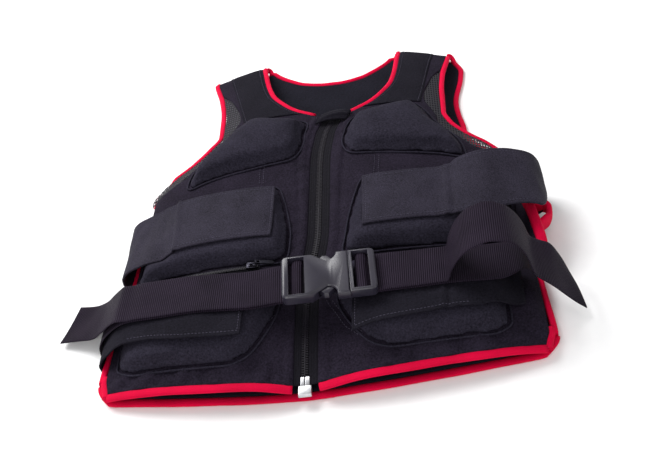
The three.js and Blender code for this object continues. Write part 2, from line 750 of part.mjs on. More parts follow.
for (const [name, side] of SIDES) {
  for (const [kind, pad] of Object.entries(PADS)) {
    const tuck = (x) => x - (kind === 'waist_pad' && name === 'left' ? WAIST_TUCK * ease(0.45, 1, x / HALF_BODY) : 0);
    const outline = pad.outline.map(([x, y]) => [side * tuck(x), y]);
    const middle = [side * tuck(pad.middle[0]), pad.middle[1]];
    add(`${kind}_${name}`, cushion(outline, middle, padFloor, pad.crown, PAD_RINGS), padCloth);
  }
}

// How far out on a pad a place lies: 0 in its middle, 1 on its outline, more outside it
function padShare({ outline, middle }, gx, row) {
  const dx = gx - middle[0];
  const dy = row - middle[1];
  for (let i = 0; i < outline.length; i += 1) {
    const a = outline[i];
    const b = outline[(i + 1) % outline.length];
    const ex = b[0] - a[0];
    const ey = b[1] - a[1];
    const ax = a[0] - middle[0];
    const ay = a[1] - middle[1];
    const turn = dx * ey - dy * ex;
    if (Math.abs(turn) < 1e-9) continue;
    const reach = (ax * ey - ay * ex) / turn;
    const along = (ax * dy - ay * dx) / turn;
    if (reach > 0 && along >= 0 && along <= 1) return 1 / reach;
  }
  return 0;
}

// The top of the front cloth and its pads
function stackTop(gx, row) {
  let top = frontTop(gx, row);
  for (const pad of Object.values(PADS)) {
    const share = padShare(pad, gx, row);
    if (share <= 1) top = Math.max(top, padFloor(gx, row) + pad.crown(share));
  }
  return top;
}

// The highest of what a strap crosses at one place along it
function underStrap(gx, rowFrom, rowTo) {
  const rows = steps(rowFrom, rowTo, 8);
  const near = [gx - 5, gx, gx + 5];
  return Math.max(...near.flatMap((x) => rows.map((row) => stackTop(x, row))));
}

// Straps and webbing: strips that follow a short profile along their length

// A profile's points hold gx and z. It is cut into pieces no longer than the stride and turned into a surface.
function strip(side, profile, rowFrom, rowTo, thickness, across) {
  const lengths = [0];
  for (let i = 1; i < profile.length; i += 1) {
    const [a, b] = [profile[i - 1], profile[i]];
    lengths.push(lengths[i - 1] + Math.hypot(b.gx - a.gx, b.z - a.z, (b.shift ?? 0) - (a.shift ?? 0)));
  }
  const total = lengths.at(-1);
  const shares = lengths.map((length) => length / total);
  const surface = (u, v) => {
    let i = 0;
    while (i + 2 < shares.length && u > shares[i + 1]) i += 1;
    const t = (u - shares[i]) / (shares[i + 1] - shares[i]);
    const [a, b] = [profile[i], profile[i + 1]];
    const row = lerp(rowFrom, rowTo, v) + lerp(a.shift ?? 0, b.shift ?? 0, t);
    const tilt = (v - 0.5) * lerp(a.tilt ?? 0, b.tilt ?? 0, t);
    const lean = (0.5 - v) * lerp(a.lean ?? 0, b.lean ?? 0, t);
    return place(side * (lerp(a.gx, b.gx, t) + lean), row, lerp(a.z, b.z, t) + tilt);
  };
  return sheet(surface, shares, steps(0, 1, across), thickness);
}

// Keeps a profile from turning sharply: each inner point moves towards the middle of its neighbours, never down.
function eased(profile) {
  return profile.map((p, i) => {
    if (i === 0 || i === profile.length - 1) return p;
    const middle = (profile[i - 1].z + profile[i + 1].z) / 2;
    return { ...p, z: Math.max(p.z, lerp(p.z, middle, 0.6)) };
  });
}

// How each side strap rounds the side, from the pads' top down to the side binding, where it is sewn on. The gx
// column is a share of half the body, z of the strap's height on the pads, and tilt of the strap's lift, which
// raises the edge towards the neck.
const STRAP_SEAT = 0.6;
const UPPER_WRAP = {
  right: [
    { gx: 0.89, z: 0.97, tilt: 0 },
    { gx: 0.935, z: 0.85, tilt: 0 },
    { gx: 0.97, z: 0.66, tilt: 0 },
    { gx: 0.985, z: 0.45, tilt: 0 },
    { gx: 0.985, z: 0.24, tilt: 0 },
    { gx: 0.975, z: 0.09, tilt: 0 },
  ],
  left: [
    { gx: 0.66, z: 1.12, tilt: 0.6 },
    { gx: 0.72, z: 1.18, tilt: 0.85 },
    { gx: 0.79, z: 1.2, tilt: 1 },
    { gx: 0.87, z: 1.19, tilt: 0.8 },
    { gx: 0.94, z: 1.14, tilt: 0.5 },
    { gx: 0.995, z: 1.04, tilt: 0.3 },
    { gx: 1.035, z: 0.8, tilt: 0.15 },
    { gx: 1.05, z: 0.5, tilt: 0 },
    { gx: 1.04, z: 0.22, tilt: 0 },
  ],
};
const UPPER_ON_PADS = { right: 0.85, left: 0.6 };
const LOWER_WRAP = [
  { gx: 0.79, z: 0.97, tilt: 0 },
  { gx: 0.85, z: 0.91, tilt: 0 },
  { gx: 0.9, z: 0.79, tilt: 0 },
  { gx: 0.945, z: 0.6, tilt: 0 },
  { gx: 0.985, z: 0.4, tilt: 0 },
  { gx: 1.007, z: 0.22, tilt: 0 },
];
const LOWER_ON_PADS = 0.74;
const LOWER_CLIMB = {
  right: [
    { gx: 0.3, shift: -4 },
    { gx: 0.55, shift: 0 },
    { gx: 0.76, shift: 10 },
    { gx: 1, shift: 14 },
  ],
  left: [
    { gx: 0.2, shift: -14 },
    { gx: 0.3, shift: -7 },
    { gx: 0.47, shift: -3 },
    { gx: 0.64, shift: 2 },
    { gx: 0.8, shift: 2 },
    { gx: 0.88, shift: 8 },
    { gx: 0.95, shift: 20 },
  ],
};
const FLAT = [{ gx: 0, shift: 0 }, { gx: 1, shift: 0 }];

function shifted([low, high], shift) {
  return [low + shift, high + shift];
}

// A strap from its free inner end, over the pads and round the side. It ends flat beside the side binding.
function sideStrap({ side, inner, rows, thickness, onPadsTo, wrap, lift, climb }) {
  const half = thickness / 2;
  const climbAt = through(climb, 'gx', 'shift');
  const onPads = steps(inner, onPadsTo, 8).map((share) => {
    const gx = share * HALF_BODY;
    const shift = climbAt(share);
    return { gx, z: underStrap(gx, ...shifted(rows, shift)) + half + STRAP_SEAT, shift, tilt: 0 };
  });
  const top = onPads.at(-1).z;
  const low = half + SEAT;
  const round = wrap.map((w) => {
    return { gx: w.gx * HALF_BODY, z: lerp(low, top, w.z), shift: climbAt(w.gx), tilt: w.tilt * lift };
  });
  const last = climbAt(wrap.at(-1).gx);
  const seam = seamOver(side, ...shifted(rows, last)) + half;
  return eased([...onPads, ...round, { gx: seam, z: low, shift: last, tilt: 0 }]);
}

const UPPER_STRAP_ROW = -0.243 * HALF_LENGTH;
const UPPER_STRAP_INNER = 0.215;
const LOWER_STRAP_ROW = -0.72 * HALF_LENGTH;
const LOWER_STRAP_INNER = { right: 0.285, left: 0.2 };

function seamAt(side, row) {
  return Math.max(frontOuter(row), backEdge(side, row)) + 4 * SEAT;
}

function seamOver(side, rowFrom, rowTo) {
  return Math.max(...steps(rowFrom, rowTo, 4).map((row) => seamAt(side, row)));
}

const upperRows = [UPPER_STRAP_ROW - UPPER_STRAP_WIDTH / 2, UPPER_STRAP_ROW + UPPER_STRAP_WIDTH / 2];
const lowerRows = [LOWER_STRAP_ROW - LOWER_STRAP_WIDTH / 2, LOWER_STRAP_ROW + LOWER_STRAP_WIDTH / 2];

function upperProfile(name, side) {
  return sideStrap({
    side,
    inner: UPPER_STRAP_INNER,
    rows: upperRows,
    thickness: UPPER_STRAP_THICKNESS,
    onPadsTo: UPPER_ON_PADS[name],
    wrap: UPPER_WRAP[name],
    lift: UPPER_STRAP_LIFT,
    climb: FLAT,
  });
}

function lowerProfile(name, side) {
  return sideStrap({
    side,
    inner: LOWER_STRAP_INNER[name],
    rows: lowerRows,
    thickness: LOWER_STRAP_THICKNESS,
    onPadsTo: LOWER_ON_PADS,
    wrap: LOWER_WRAP,
    lift: 0,
    climb: LOWER_CLIMB[name],
  });
}

// Waist webbing. The sewn layer lies on the pads and the lower strap, and the loose end lies on the sewn layer.

const BELT_ROW = -0.653 * HALF_LENGTH;
const beltRows = [BELT_ROW - WEBBING_WIDTH / 2, BELT_ROW + WEBBING_WIDTH / 2];
const beltHalf = WEBBING_THICKNESS / 2;

// The highest place of a profile over one place across
function highestAt(profile, gx) {
  let z = 0;
  for (let i = 1; i < profile.length; i += 1) {
    const [a, b] = [profile[i - 1], profile[i]];
    if (gx < Math.min(a.gx, b.gx) || gx > Math.max(a.gx, b.gx)) continue;
    const t = a.gx === b.gx ? 0 : (gx - a.gx) / (b.gx - a.gx);
    z = Math.max(z, lerp(a.z, b.z, t));
  }
  return z;
}

// Distance from the vest's middle line of a place that lies at x on the belt's row
function beltAcross(side, x) {
  const drift = zipDrift(BELT_ROW);
  return (side * (x - drift)) / (1 - (side * drift) / HALF_BODY);
}

const BUCKLE_X = BUCKLE_OFFSET + zipDrift(BELT_ROW) * (1 - BUCKLE_OFFSET / HALF_BODY);
const BUCKLE_TURN = Math.atan(LAY_SKEW);
const HALF_BUCKLE = BUCKLE_LENGTH / 2;
const BAR_TOP = 1;
const BAR_BOTTOM = -3;
const OUTER_BAR_BOTTOM = -0.5;
const beltTop = underStrap(0.35 * HALF_BODY, ...beltRows) + LOWER_STRAP_THICKNESS + 2 * STRAP_SEAT;
const BUCKLE_Z = beltTop + 2 * WEBBING_THICKNESS + BUCKLE_RISE;

// Places in the buckle's end, counted inwards from its outer face
const BAR_FROM = OUTER_BAR + OUTER_SLOT;
const BAR_TO = BAR_FROM + MIDDLE_BAR;
const PLATE_FROM = BAR_TO + INNER_SLOT;

function buckleEnd(side, inwards) {
  return beltAcross(side, BUCKLE_X + side * (HALF_BUCKLE - inwards));
}

const WEB_FALL = 0.1;
const WEB_ON_PADS = 0.74;
const WEB_WRAP = [
  { gx: 0.8, z: 0.985 },
  { gx: 0.865, z: 0.925 },
  { gx: 0.915, z: 0.81 },
  { gx: 0.962, z: 0.64 },
  { gx: 1.004, z: 0.44 },
  { gx: 1.026, z: 0.24 },
  { gx: 1.032, z: 0.04 },
];
const WEB_CLIMB = [
  { gx: 0.2, shift: 0 },
  { gx: 0.5, shift: 5 },
  { gx: 0.8, shift: 10 },
  { gx: 1, shift: 13 },
];
const webClimb = through(WEB_CLIMB, 'gx', 'shift');

// Fills in a belt point: its climb, and beside the buckle the lean that keeps the belt square to the bars
function climbing(side) {
  const square = side * WEBBING_WIDTH * LAY_SKEW;
  const near = 0.3 * HALF_BODY;
  return (point) => ({
    ...point,
    shift: point.shift ?? webClimb(point.gx / HALF_BODY),
    lean: point.lean ?? square * ease(1.5 * near, near, point.gx),
  });
}

function sewnWebbing(name, side) {
  const lower = lowerProfile(name, side);
  const lowerHalf = LOWER_STRAP_THICKNESS / 2;
  const clear = beltHalf + STRAP_SEAT;
  const outside = buckleEnd(side, -8);
  const inBuckle = [
    { gx: buckleEnd(side, BAR_TO - 1), z: BUCKLE_Z + BAR_BOTTOM - clear },
    { gx: buckleEnd(side, OUTER_BAR), z: BUCKLE_Z + BAR_BOTTOM - clear - 0.3 },
    { gx: buckleEnd(side, 0), z: BUCKLE_Z + BAR_BOTTOM - clear - 0.6 },
  ];
  const start = BUCKLE_Z + BAR_BOTTOM - clear - 1;
  const onPads = steps(outside, WEB_ON_PADS * HALF_BODY, 8).map((gx) => {
    const rows = shifted(beltRows, webClimb(gx / HALF_BODY));
    const lying = Math.max(underStrap(gx, ...rows), highestAt(lower, gx) + lowerHalf) + clear;
    return { gx, z: Math.max(lying, start - WEB_FALL * (gx - outside)) };
  });
  const top = onPads.at(-1).z;
  const round = WEB_WRAP.map((w) => ({ gx: w.gx * HALF_BODY, z: w.z * top }));
  return [...inBuckle, ...eased([...onPads, ...round])].map(climbing(side));
}

// The loose end comes up between the bars, over the middle bar and out under the outer bar.
function looseStart(side, sewn) {
  const over = beltHalf + 3 * SEAT;
  const inBuckle = [
    { gx: buckleEnd(side, BAR_TO + 2.6), z: BUCKLE_Z + BAR_BOTTOM + 0.5 },
    { gx: buckleEnd(side, BAR_TO + 1.6), z: BUCKLE_Z + BAR_TOP + over - 1 },
    { gx: buckleEnd(side, BAR_TO), z: BUCKLE_Z + BAR_TOP + over },
    { gx: buckleEnd(side, BAR_FROM), z: BUCKLE_Z + BAR_TOP + over },
    { gx: buckleEnd(side, BAR_FROM - 2), z: BUCKLE_Z + BAR_TOP + over - 1.2 },
    { gx: buckleEnd(side, OUTER_BAR + 1), z: BUCKLE_Z + OUTER_BAR_BOTTOM - over - 0.6 },
    { gx: buckleEnd(side, 0), z: BUCKLE_Z + OUTER_BAR_BOTTOM - over - 0.9 },
  ];
  const apart = WEBBING_THICKNESS + 3 * SEAT;
  const lying = sewn.filter(({ gx }) => gx >= buckleEnd(side, -8));
  const start = BUCKLE_Z + OUTER_BAR_BOTTOM - over - 1.4;
  return { inBuckle, lying: (gx) => Math.max(highestAt(lying, gx) + apart, start - 1.3 * WEB_FALL * (gx - lying[0].gx)) };
}

// Wearer's right: the loose end drops over the side and lies out on the surface. In the two tables out is a share
// of the end's reach, z of its height on the pads, and shift, tilt and lean are millimetres.
const RIGHT_FOLD = 0.855;
const RIGHT_DROP = [
  { out: 0.12, z: 0.91, shift: 12, tilt: 0, lean: 1 },
  { out: 0.25, z: 0.77, shift: 15, tilt: 0, lean: 3 },
  { out: 0.38, z: 0.58, shift: 18, tilt: 1, lean: 4 },
  { out: 0.55, z: 0.37, shift: 23, tilt: 1, lean: 6 },
  { out: 0.75, z: 0.21, shift: 29, tilt: 0, lean: 9 },
  { out: 1, z: 0.11, shift: 34, tilt: -2, lean: 12 },
];

function looseRight(side, sewn) {
  const { inBuckle, lying } = looseStart(side, sewn);
  const from = buckleEnd(side, -8);
  const fold = RIGHT_FOLD * HALF_BODY;
  const onSewn = sewn.map(({ gx }) => gx).filter((gx) => gx > from + 1 && gx < fold - 1);
  const flat = [from, ...onSewn, fold].map((gx) => ({ gx, z: lying(gx) }));
  const top = flat.at(-1).z;
  const drop = RIGHT_DROP.map((d) => {
    const gx = fold + d.out * TAIL_REACH_RIGHT;
    return { ...d, gx, z: Math.max(d.z * top, highestAt(sewn, gx) + 4 * WEBBING_THICKNESS) };
  });
  return [...inBuckle, ...flat, ...drop].map(climbing(side));
}

// Wearer's left: the loose end stands up in an arch, comes down past the side and points out and down.
const ARCH_FOOT = 0.577;
const ARCH = [
  { along: 0.05, up: 0.28, shift: 6, tilt: 2 },
  { along: 0.14, up: 0.62, shift: 5, tilt: 4 },
  { along: 0.29, up: 0.88, shift: 4, tilt: 6 },
  { along: 0.5, up: 1, shift: 3, tilt: 6 },
  { along: 0.67, up: 0.93, shift: 2, tilt: 4 },
  { along: 0.82, up: 0.71, shift: 2, tilt: 2 },
  { along: 0.92, up: 0.4, shift: 2, tilt: 4 },
  { along: 1, up: 0.04, shift: 2, tilt: 6 },
];
const LEFT_DROP = [
  { out: 0.22, z: 0.88, shift: 2, tilt: 12, lean: 1 },
  { out: 0.47, z: 0.73, shift: 1, tilt: 18, lean: 3 },
  { out: 0.74, z: 0.47, shift: -1, tilt: 12, lean: 8 },
  { out: 1, z: 0.21, shift: -4, tilt: 5, lean: 12 },
];

function looseLeft(side, sewn) {
  const { inBuckle, lying } = looseStart(side, sewn);
  const from = buckleEnd(side, -8);
  const foot = ARCH_FOOT * HALF_BODY;
  const onSewn = sewn.map(({ gx }) => gx).filter((gx) => gx > from + 1 && gx < foot - 1);
  const flat = [from, ...onSewn, foot].map((gx) => ({ gx, z: lying(gx) }));
  const top = flat.at(-1).z;
  const arch = ARCH.map((a) => ({ ...a, gx: foot + a.along * ARCH_SPAN, z: top + a.up * ARCH_HEIGHT }));
  const fallen = foot + ARCH_SPAN;
  const drop = LEFT_DROP.map((d) => ({ ...d, gx: fallen + d.out * TAIL_REACH_LEFT, z: d.z * top }));
  return [...inBuckle, ...flat, ...arch, ...drop].map(climbing(side));
}

for (const [name, side] of SIDES) {
  const upper = upperProfile(name, side);
  add(`upper_strap_${name}`, strip(side, upper, ...upperRows, UPPER_STRAP_THICKNESS, 3), patchCloth);
  const lower = lowerProfile(name, side);
  add(`lower_strap_${name}`, strip(side, lower, ...lowerRows, LOWER_STRAP_THICKNESS, 2), patchCloth);
  const sewn = sewnWebbing(name, side);
  add(`waist_webbing_${name}`, strip(side, sewn, ...beltRows, WEBBING_THICKNESS, 1), webbing);
  const loose = name === 'left' ? looseLeft(side, sewn) : looseRight(side, sewn);
  add(`webbing_tail_${name}`, strip(side, loose, ...beltRows, WEBBING_THICKNESS, 2), webbing);
}

// Side-release buckle, fastened. Its own frame has X along the belt, the socket at -X and the plug at +X.

function solid(geometry) {
  const bare = geometry.clone();
  bare.deleteAttribute('normal');
  bare.deleteAttribute('uv');
  const merged = mergeVertices(bare, 1e-4);
  return new wasm.Manifold(new wasm.Mesh({
    numProp: 3,
    vertProperties: new Float32Array(merged.attributes.position.array),
    triVerts: new Uint32Array(merged.index.array),
  }));
}

function geometryOf(body) {
  const mesh = body.getMesh();
  const geometry = new THREE.BufferGeometry();
  geometry.setAttribute('position', new THREE.BufferAttribute(new Float32Array(mesh.vertProperties), 3));
  geometry.setIndex(new THREE.BufferAttribute(new Uint32Array(mesh.triVerts), 1));
  geometry.computeVertexNormals();
  return geometry;
}

// A block between two corners
function block([x0, y0, z0], [x1, y1, z1]) {
  const geometry = new THREE.BoxGeometry(x1 - x0, y1 - y0, z1 - z0);
  geometry.translate((x0 + x1) / 2, (y0 + y1) / 2, (z0 + z1) / 2);
  return solid(geometry);
}

// A plate with its long edges eased, centred on height 0
function plate(shape, thickness, edge) {
  const geometry = new THREE.ExtrudeGeometry(shape, {
    depth: thickness - 2 * edge,
    bevelEnabled: edge > 0,
    bevelSize: edge,
    bevelThickness: edge,
    bevelOffset: -edge,
    bevelSegments: 1,
    curveSegments: 5,
  });
  geometry.translate(0, 0, edge - thickness / 2);
  return solid(geometry);
}

const HALF_WIDTH = BUCKLE_WIDTH / 2;
const SLOT_HALF = HALF_WIDTH - RAIL;
const MOUTH = HALF_BUCKLE - PLUG_BASE;
const WINDOW_FROM = -0.36 * HALF_BUCKLE;
const WINDOW_TO = WINDOW_FROM + WINDOW_LENGTH;
const WINDOW_APEX = WINDOW_FROM + 0.6 * WINDOW_LENGTH;
const END_ROUND = 6;

// Takes an outline round one end of the buckle, whose corners are rounded
function roundEnd(shape, turn) {
  const end = turn * HALF_BUCKLE;
  const inner = end - turn * END_ROUND;
  shape.lineTo(inner, -turn * HALF_WIDTH);
  shape.quadraticCurveTo(end, -turn * HALF_WIDTH, end, -turn * (HALF_WIDTH - END_ROUND));
  shape.lineTo(end, turn * (HALF_WIDTH - END_ROUND));
  shape.quadraticCurveTo(end, turn * HALF_WIDTH, inner, turn * HALF_WIDTH);
}

// Cuts the two slots of a ladder end and sets its bars at their heights. turn is the end's direction along X.
function ladder(body, turn) {
  const at = (inwards) => turn * (HALF_BUCKLE - inwards);
  const cut = (from, to, low, high) => {
    const [x0, x1] = [at(from), at(to)].sort((a, b) => a - b);
    return block([x0, -SLOT_HALF, low], [x1, SLOT_HALF, high]);
  };
  const reach = BUCKLE_THICKNESS;
  return body
    .subtract(cut(OUTER_BAR, BAR_FROM, -reach, reach))
    .subtract(cut(BAR_TO, PLATE_FROM, -reach, reach))
    .subtract(cut(-1, OUTER_BAR + 0.01, -reach, OUTER_BAR_BOTTOM))
    .subtract(cut(BAR_FROM - 0.01, BAR_TO + 0.01, BAR_TOP, reach))
    .subtract(cut(BAR_FROM - 0.01, BAR_TO + 0.01, -reach, BAR_BOTTOM));
}

function socketBody() {
  const shape = new THREE.Shape();
  const notch = HALF_WIDTH - WINDOW_DEPTH;
  shape.moveTo(MOUTH, HALF_WIDTH);
  shape.lineTo(WINDOW_TO, HALF_WIDTH);
  shape.quadraticCurveTo(WINDOW_TO - 1, notch + 1, WINDOW_APEX, notch);
  shape.lineTo(WINDOW_FROM, HALF_WIDTH);
  roundEnd(shape, -1);
  shape.lineTo(WINDOW_FROM, -HALF_WIDTH);
  shape.lineTo(WINDOW_APEX, -notch);
  shape.quadraticCurveTo(WINDOW_TO - 1, -notch - 1, WINDOW_TO, -HALF_WIDTH);
  shape.lineTo(MOUTH, -HALF_WIDTH);
  shape.closePath();
  const body = ladder(plate(shape, BUCKLE_THICKNESS, BUCKLE_EDGE), -1);
  const inside = BUCKLE_THICKNESS / 2 - BUCKLE_WALL;
  const cavityFrom = WINDOW_FROM - 0.15 * WINDOW_LENGTH;
  const cavityHalf = HALF_WIDTH - 2 * BUCKLE_WALL;
  return body.subtract(block([cavityFrom, -cavityHalf, -inside], [MOUTH + 1, cavityHalf, inside]));
}

function plugBody() {
  const base = new THREE.Shape();
  const mouth = MOUTH + RUNNING_GAP;
  base.moveTo(mouth, -HALF_WIDTH);
  roundEnd(base, 1);
  base.lineTo(mouth, HALF_WIDTH);
  base.closePath();
  const body = ladder(plate(base, BUCKLE_THICKNESS, BUCKLE_EDGE), 1);
  const armHeight = BUCKLE_THICKNESS - 2 * (BUCKLE_WALL + RUNNING_GAP);
  const tab = HALF_WIDTH - 0.22 * WINDOW_DEPTH;
  const root = mouth + 1;
  let joined = body;
  for (const side of [1, -1]) {
    const arm = new THREE.Shape();
    arm.moveTo(root, side * 0.36 * HALF_WIDTH);
    arm.lineTo(root, side * 0.62 * HALF_WIDTH);
    arm.lineTo(WINDOW_TO - 0.5, side * 0.56 * HALF_WIDTH);
    arm.lineTo(WINDOW_APEX + 3.4, side * 0.8 * HALF_WIDTH);
    arm.lineTo(WINDOW_APEX + 0.6, side * tab);
    arm.lineTo(WINDOW_APEX - 3.6, side * tab);
    arm.lineTo(WINDOW_APEX - 6.6, side * 0.78 * HALF_WIDTH);
    arm.lineTo(WINDOW_FROM + 1.5, side * 0.5 * HALF_WIDTH);
    arm.lineTo(WINDOW_FROM + 3.5, side * 0.38 * HALF_WIDTH);
    arm.closePath();
    joined = joined.add(plate(arm, armHeight, 0));
  }
  const guide = 0.12 * HALF_WIDTH;
  return joined.add(block([WINDOW_APEX, -guide, -armHeight / 2], [root, guide, armHeight / 2]));
}

function placeBuckle(mesh) {
  mesh.rotation.z = BUCKLE_TURN;
  mesh.position.copy(place(BUCKLE_OFFSET, BELT_ROW, BUCKLE_Z));
}
placeBuckle(add('buckle_socket', geometryOf(socketBody()), buckle));
placeBuckle(add('buckle_plug', geometryOf(plugBody()), buckle));

// Front zip: two tapes, the closed chain between them, and at the hem the retainer box and the two end pins

const boxTop = HEM + ZIP_BOX_LENGTH - 3;
const pinTop = boxTop + SEAT + ZIP_PIN_LENGTH;
const chainBottom = pinTop + 2 * SEAT;
const tapeTop = NECK_BOTTOM - 1;
const pinHalf = ZIP_PIN_WIDTH + SEAT;

function tapeInner(row) {
  if (row < boxTop + SEAT) return ZIP_BOX_WIDTH / 2 + SEAT;
  if (row < pinTop + SEAT) return pinHalf + SEAT;
  return ZIP_CHAIN_WIDTH / 2 + SEAT;
}

const zipRows = FRONT_ROWS.filter((row) => row < tapeTop - 4);

function zipTape(side) {
  const edge = 0.02;
  const stops = [boxTop + SEAT, pinTop + SEAT].flatMap((row) => [row - edge, row + edge]);
  const rows = [...zipRows, tapeTop, ...stops].sort((a, b) => a - b);
  const vs = asShares(rows);
  const row = (v) => lerp(rows[0], rows.at(-1), v);
  const surface = (u, v) => {
    const gx = lerp(tapeInner(row(v)), ZIP_HALF - SEAT, u);
    return place(side * gx, row(v), frontHeight(gx, row(v)));
  };
  return sheet(surface, [0, 1], vs, ZIP_TAPE_THICKNESS);
}

// A flat bar along the zip's line, level with the cloth's middle
function zipBar(from, to, start, end, thickness) {
  const rows = [from, ...zipRows.filter((row) => row > from + 1 && row < to - 1), to];
  const surface = (u, v) => {
    const row = lerp(from, to, v);
    return place(lerp(start, end, u), row, frontHeight(0, row));
  };
  return sheet(surface, [0, 1], asShares(rows), thickness);
}

for (const [name, side] of SIDES) {
  add(`zip_tape_${name}`, zipTape(side), zipCloth);
  const pin = zipBar(boxTop + SEAT, pinTop, side * SEAT, side * pinHalf, ZIP_CHAIN_THICKNESS);
  add(`zip_end_pin_${name}`, pin, zipMetal);
}
const chainHalf = ZIP_CHAIN_WIDTH / 2;
add('zip_chain', zipBar(chainBottom, tapeTop, -chainHalf, chainHalf, ZIP_CHAIN_THICKNESS), zipPlastic);
const boxHalf = ZIP_BOX_WIDTH / 2;
add('zip_retainer_box', zipBar(boxTop - ZIP_BOX_LENGTH, boxTop, -boxHalf, boxHalf, ZIP_BOX_THICKNESS), zipMetal);

// Cloth cover folded over the top of the zip

function zipGarage() {
  const low = NECK_BOTTOM - 1.1 * GARAGE_LENGTH;
  const surface = (u, v) => {
    const gx = lerp(-0.42, 0.58, u) * GARAGE_WIDTH;
    const row = lerp(low, low + GARAGE_LENGTH, v) + 4 * u;
    const ridge = Math.sin(Math.PI * u) * 4;
    return place(gx, row, frontTop(Math.abs(gx), low) + GARAGE_SEAT + ridge);
  };
  return sheet(surface, steps(0, 1, 6), steps(0, 1, 3), GARAGE_THICKNESS);
}
add('zip_garage', zipGarage(), patchCloth);

// Smooth patches on the shoulders

function shoulderPatch(side) {
  const rows = FRONT_ROWS.filter((row) => row > PATCH_LOW * HALF_LENGTH && row < PATCH_HIGH * HALF_LENGTH);
  const surface = (u, v) => {
    const row = lerp(rows[0], rows.at(-1), v);
    const gx = lerp(neckInner(row) + PATCH_INSET, lerp(0.673, 0.836, v) * HALF_SHOULDER, u);
    return place(side * gx, row, frontTop(gx, row) + PATCH_SEAT);
  };
  return sheet(surface, steps(0, 1, 3), asShares(rows), PATCH_THICKNESS);
}
for (const [name, side] of SIDES) add(`shoulder_patch_${name}`, shoulderPatch(side), patchCloth);

// Pocket zip in the crease between the rib pad and the waist pad on the wearer's right

const POCKET_ROW = -0.4795 * HALF_LENGTH;
const pocketLine = (gx) => {
  const rows = [-0.5, 0, 0.5].map((share) => POCKET_ROW + share * POCKET_TAPE_WIDTH);
  return Math.max(...rows.map((row) => frontTop(gx, row))) + 2 * SEAT;
};

function pocketStrip(inner, outer, width, thickness, above) {
  const surface = (u, v) => {
    const gx = lerp(outer, inner, u);
    return place(-gx, POCKET_ROW + (v - 0.5) * width, pocketLine(gx) + above + thickness / 2);
  };
  return sheet(surface, steps(0, 1, 8), [0, 1], thickness);
}

add('pocket_zip_tape', pocketStrip(POCKET_INNER, POCKET_OUTER, POCKET_TAPE_WIDTH, POCKET_TAPE_THICKNESS, 0), zipCloth);
const chainSeat = POCKET_TAPE_THICKNESS + SEAT;
const chainInner = POCKET_INNER + 2;
const pocketChain = pocketStrip(chainInner, POCKET_OUTER, POCKET_CHAIN_WIDTH, POCKET_CHAIN_THICKNESS, chainSeat);
add('pocket_zip_chain', pocketChain, zipPlastic);

// The slider rides over the chain's end. Its tab hangs from the crown, droops along the crease towards the buckle,
// and swings up and back over the crown.
const sliderX = POCKET_INNER + SLIDER_LENGTH / 2 + 4;
const chainTop = pocketLine(sliderX) + chainSeat + POCKET_CHAIN_THICKNESS;
const sliderZ = chainTop + 2 * SEAT + SLIDER_HEIGHT / 2;
const CRIMP = 2;
const CROWN = 1;
const CROWN_END = SLIDER_LENGTH / 2 - 2 * SEAT;

function sliderBody() {
  const [x, y, z] = [SLIDER_LENGTH / 2, SLIDER_WIDTH / 2, SLIDER_HEIGHT / 2];
  const post = SLIDER_LENGTH * 0.12;
  return block([-x, -y, -z], [x, y, z - CRIMP])
    .add(block([-post, -post, z - CRIMP - 0.1], [post, post, z]))
    .add(block([-x * 0.7, -post, z - 0.1], [CROWN_END, post, z + CROWN]));
}

function pullBody() {
  const half = PULL_WIDTH / 2;
  const shape = new THREE.Shape();
  shape.moveTo(0, -half);
  shape.lineTo(PULL_LENGTH - half, -half);
  shape.quadraticCurveTo(PULL_LENGTH, -half, PULL_LENGTH, 0);
  shape.quadraticCurveTo(PULL_LENGTH, half, PULL_LENGTH - half, half);
  shape.lineTo(0, half);
  shape.closePath();
  const eye = block([2, -half * 0.45, -PULL_THICKNESS], [5, half * 0.45, PULL_THICKNESS]);
  return plate(shape, PULL_THICKNESS, 0).subtract(eye);
}

const slider = add('pocket_zip_slider', geometryOf(sliderBody()), zipMetal);
slider.position.copy(place(-sliderX, POCKET_ROW, sliderZ));
slider.rotation.z = BUCKLE_TURN;
const pull = add('pocket_zip_pull', geometryOf(pullBody()), zipMetal);
const hinge = new THREE.Vector3(CROWN_END + SEAT, 0, (SLIDER_HEIGHT + PULL_THICKNESS) / 2 + CROWN + SEAT);
pull.position.copy(slider.position).add(hinge.applyEuler(slider.rotation));
pull.rotation.set(0, THREE.MathUtils.degToRad(PULL_DROOP), BUCKLE_TURN, 'ZYX');

export default vest;
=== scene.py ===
# %% [markdown]
# # A weighted vest, laid front up
#
# This lesson dresses a imported CAD model of a weighted vest. The model fixes every size and place. Blender
# adds the look: cloth with a nap, plump weight pads, crimson binding, ribbed webbing, zip teeth and
# stitches. The first cell loads the model as a fixed frame.

import bmesh
import bpy
import numpy as np
from mathutils import Matrix, Vector
from mathutils.bvhtree import BVHTree


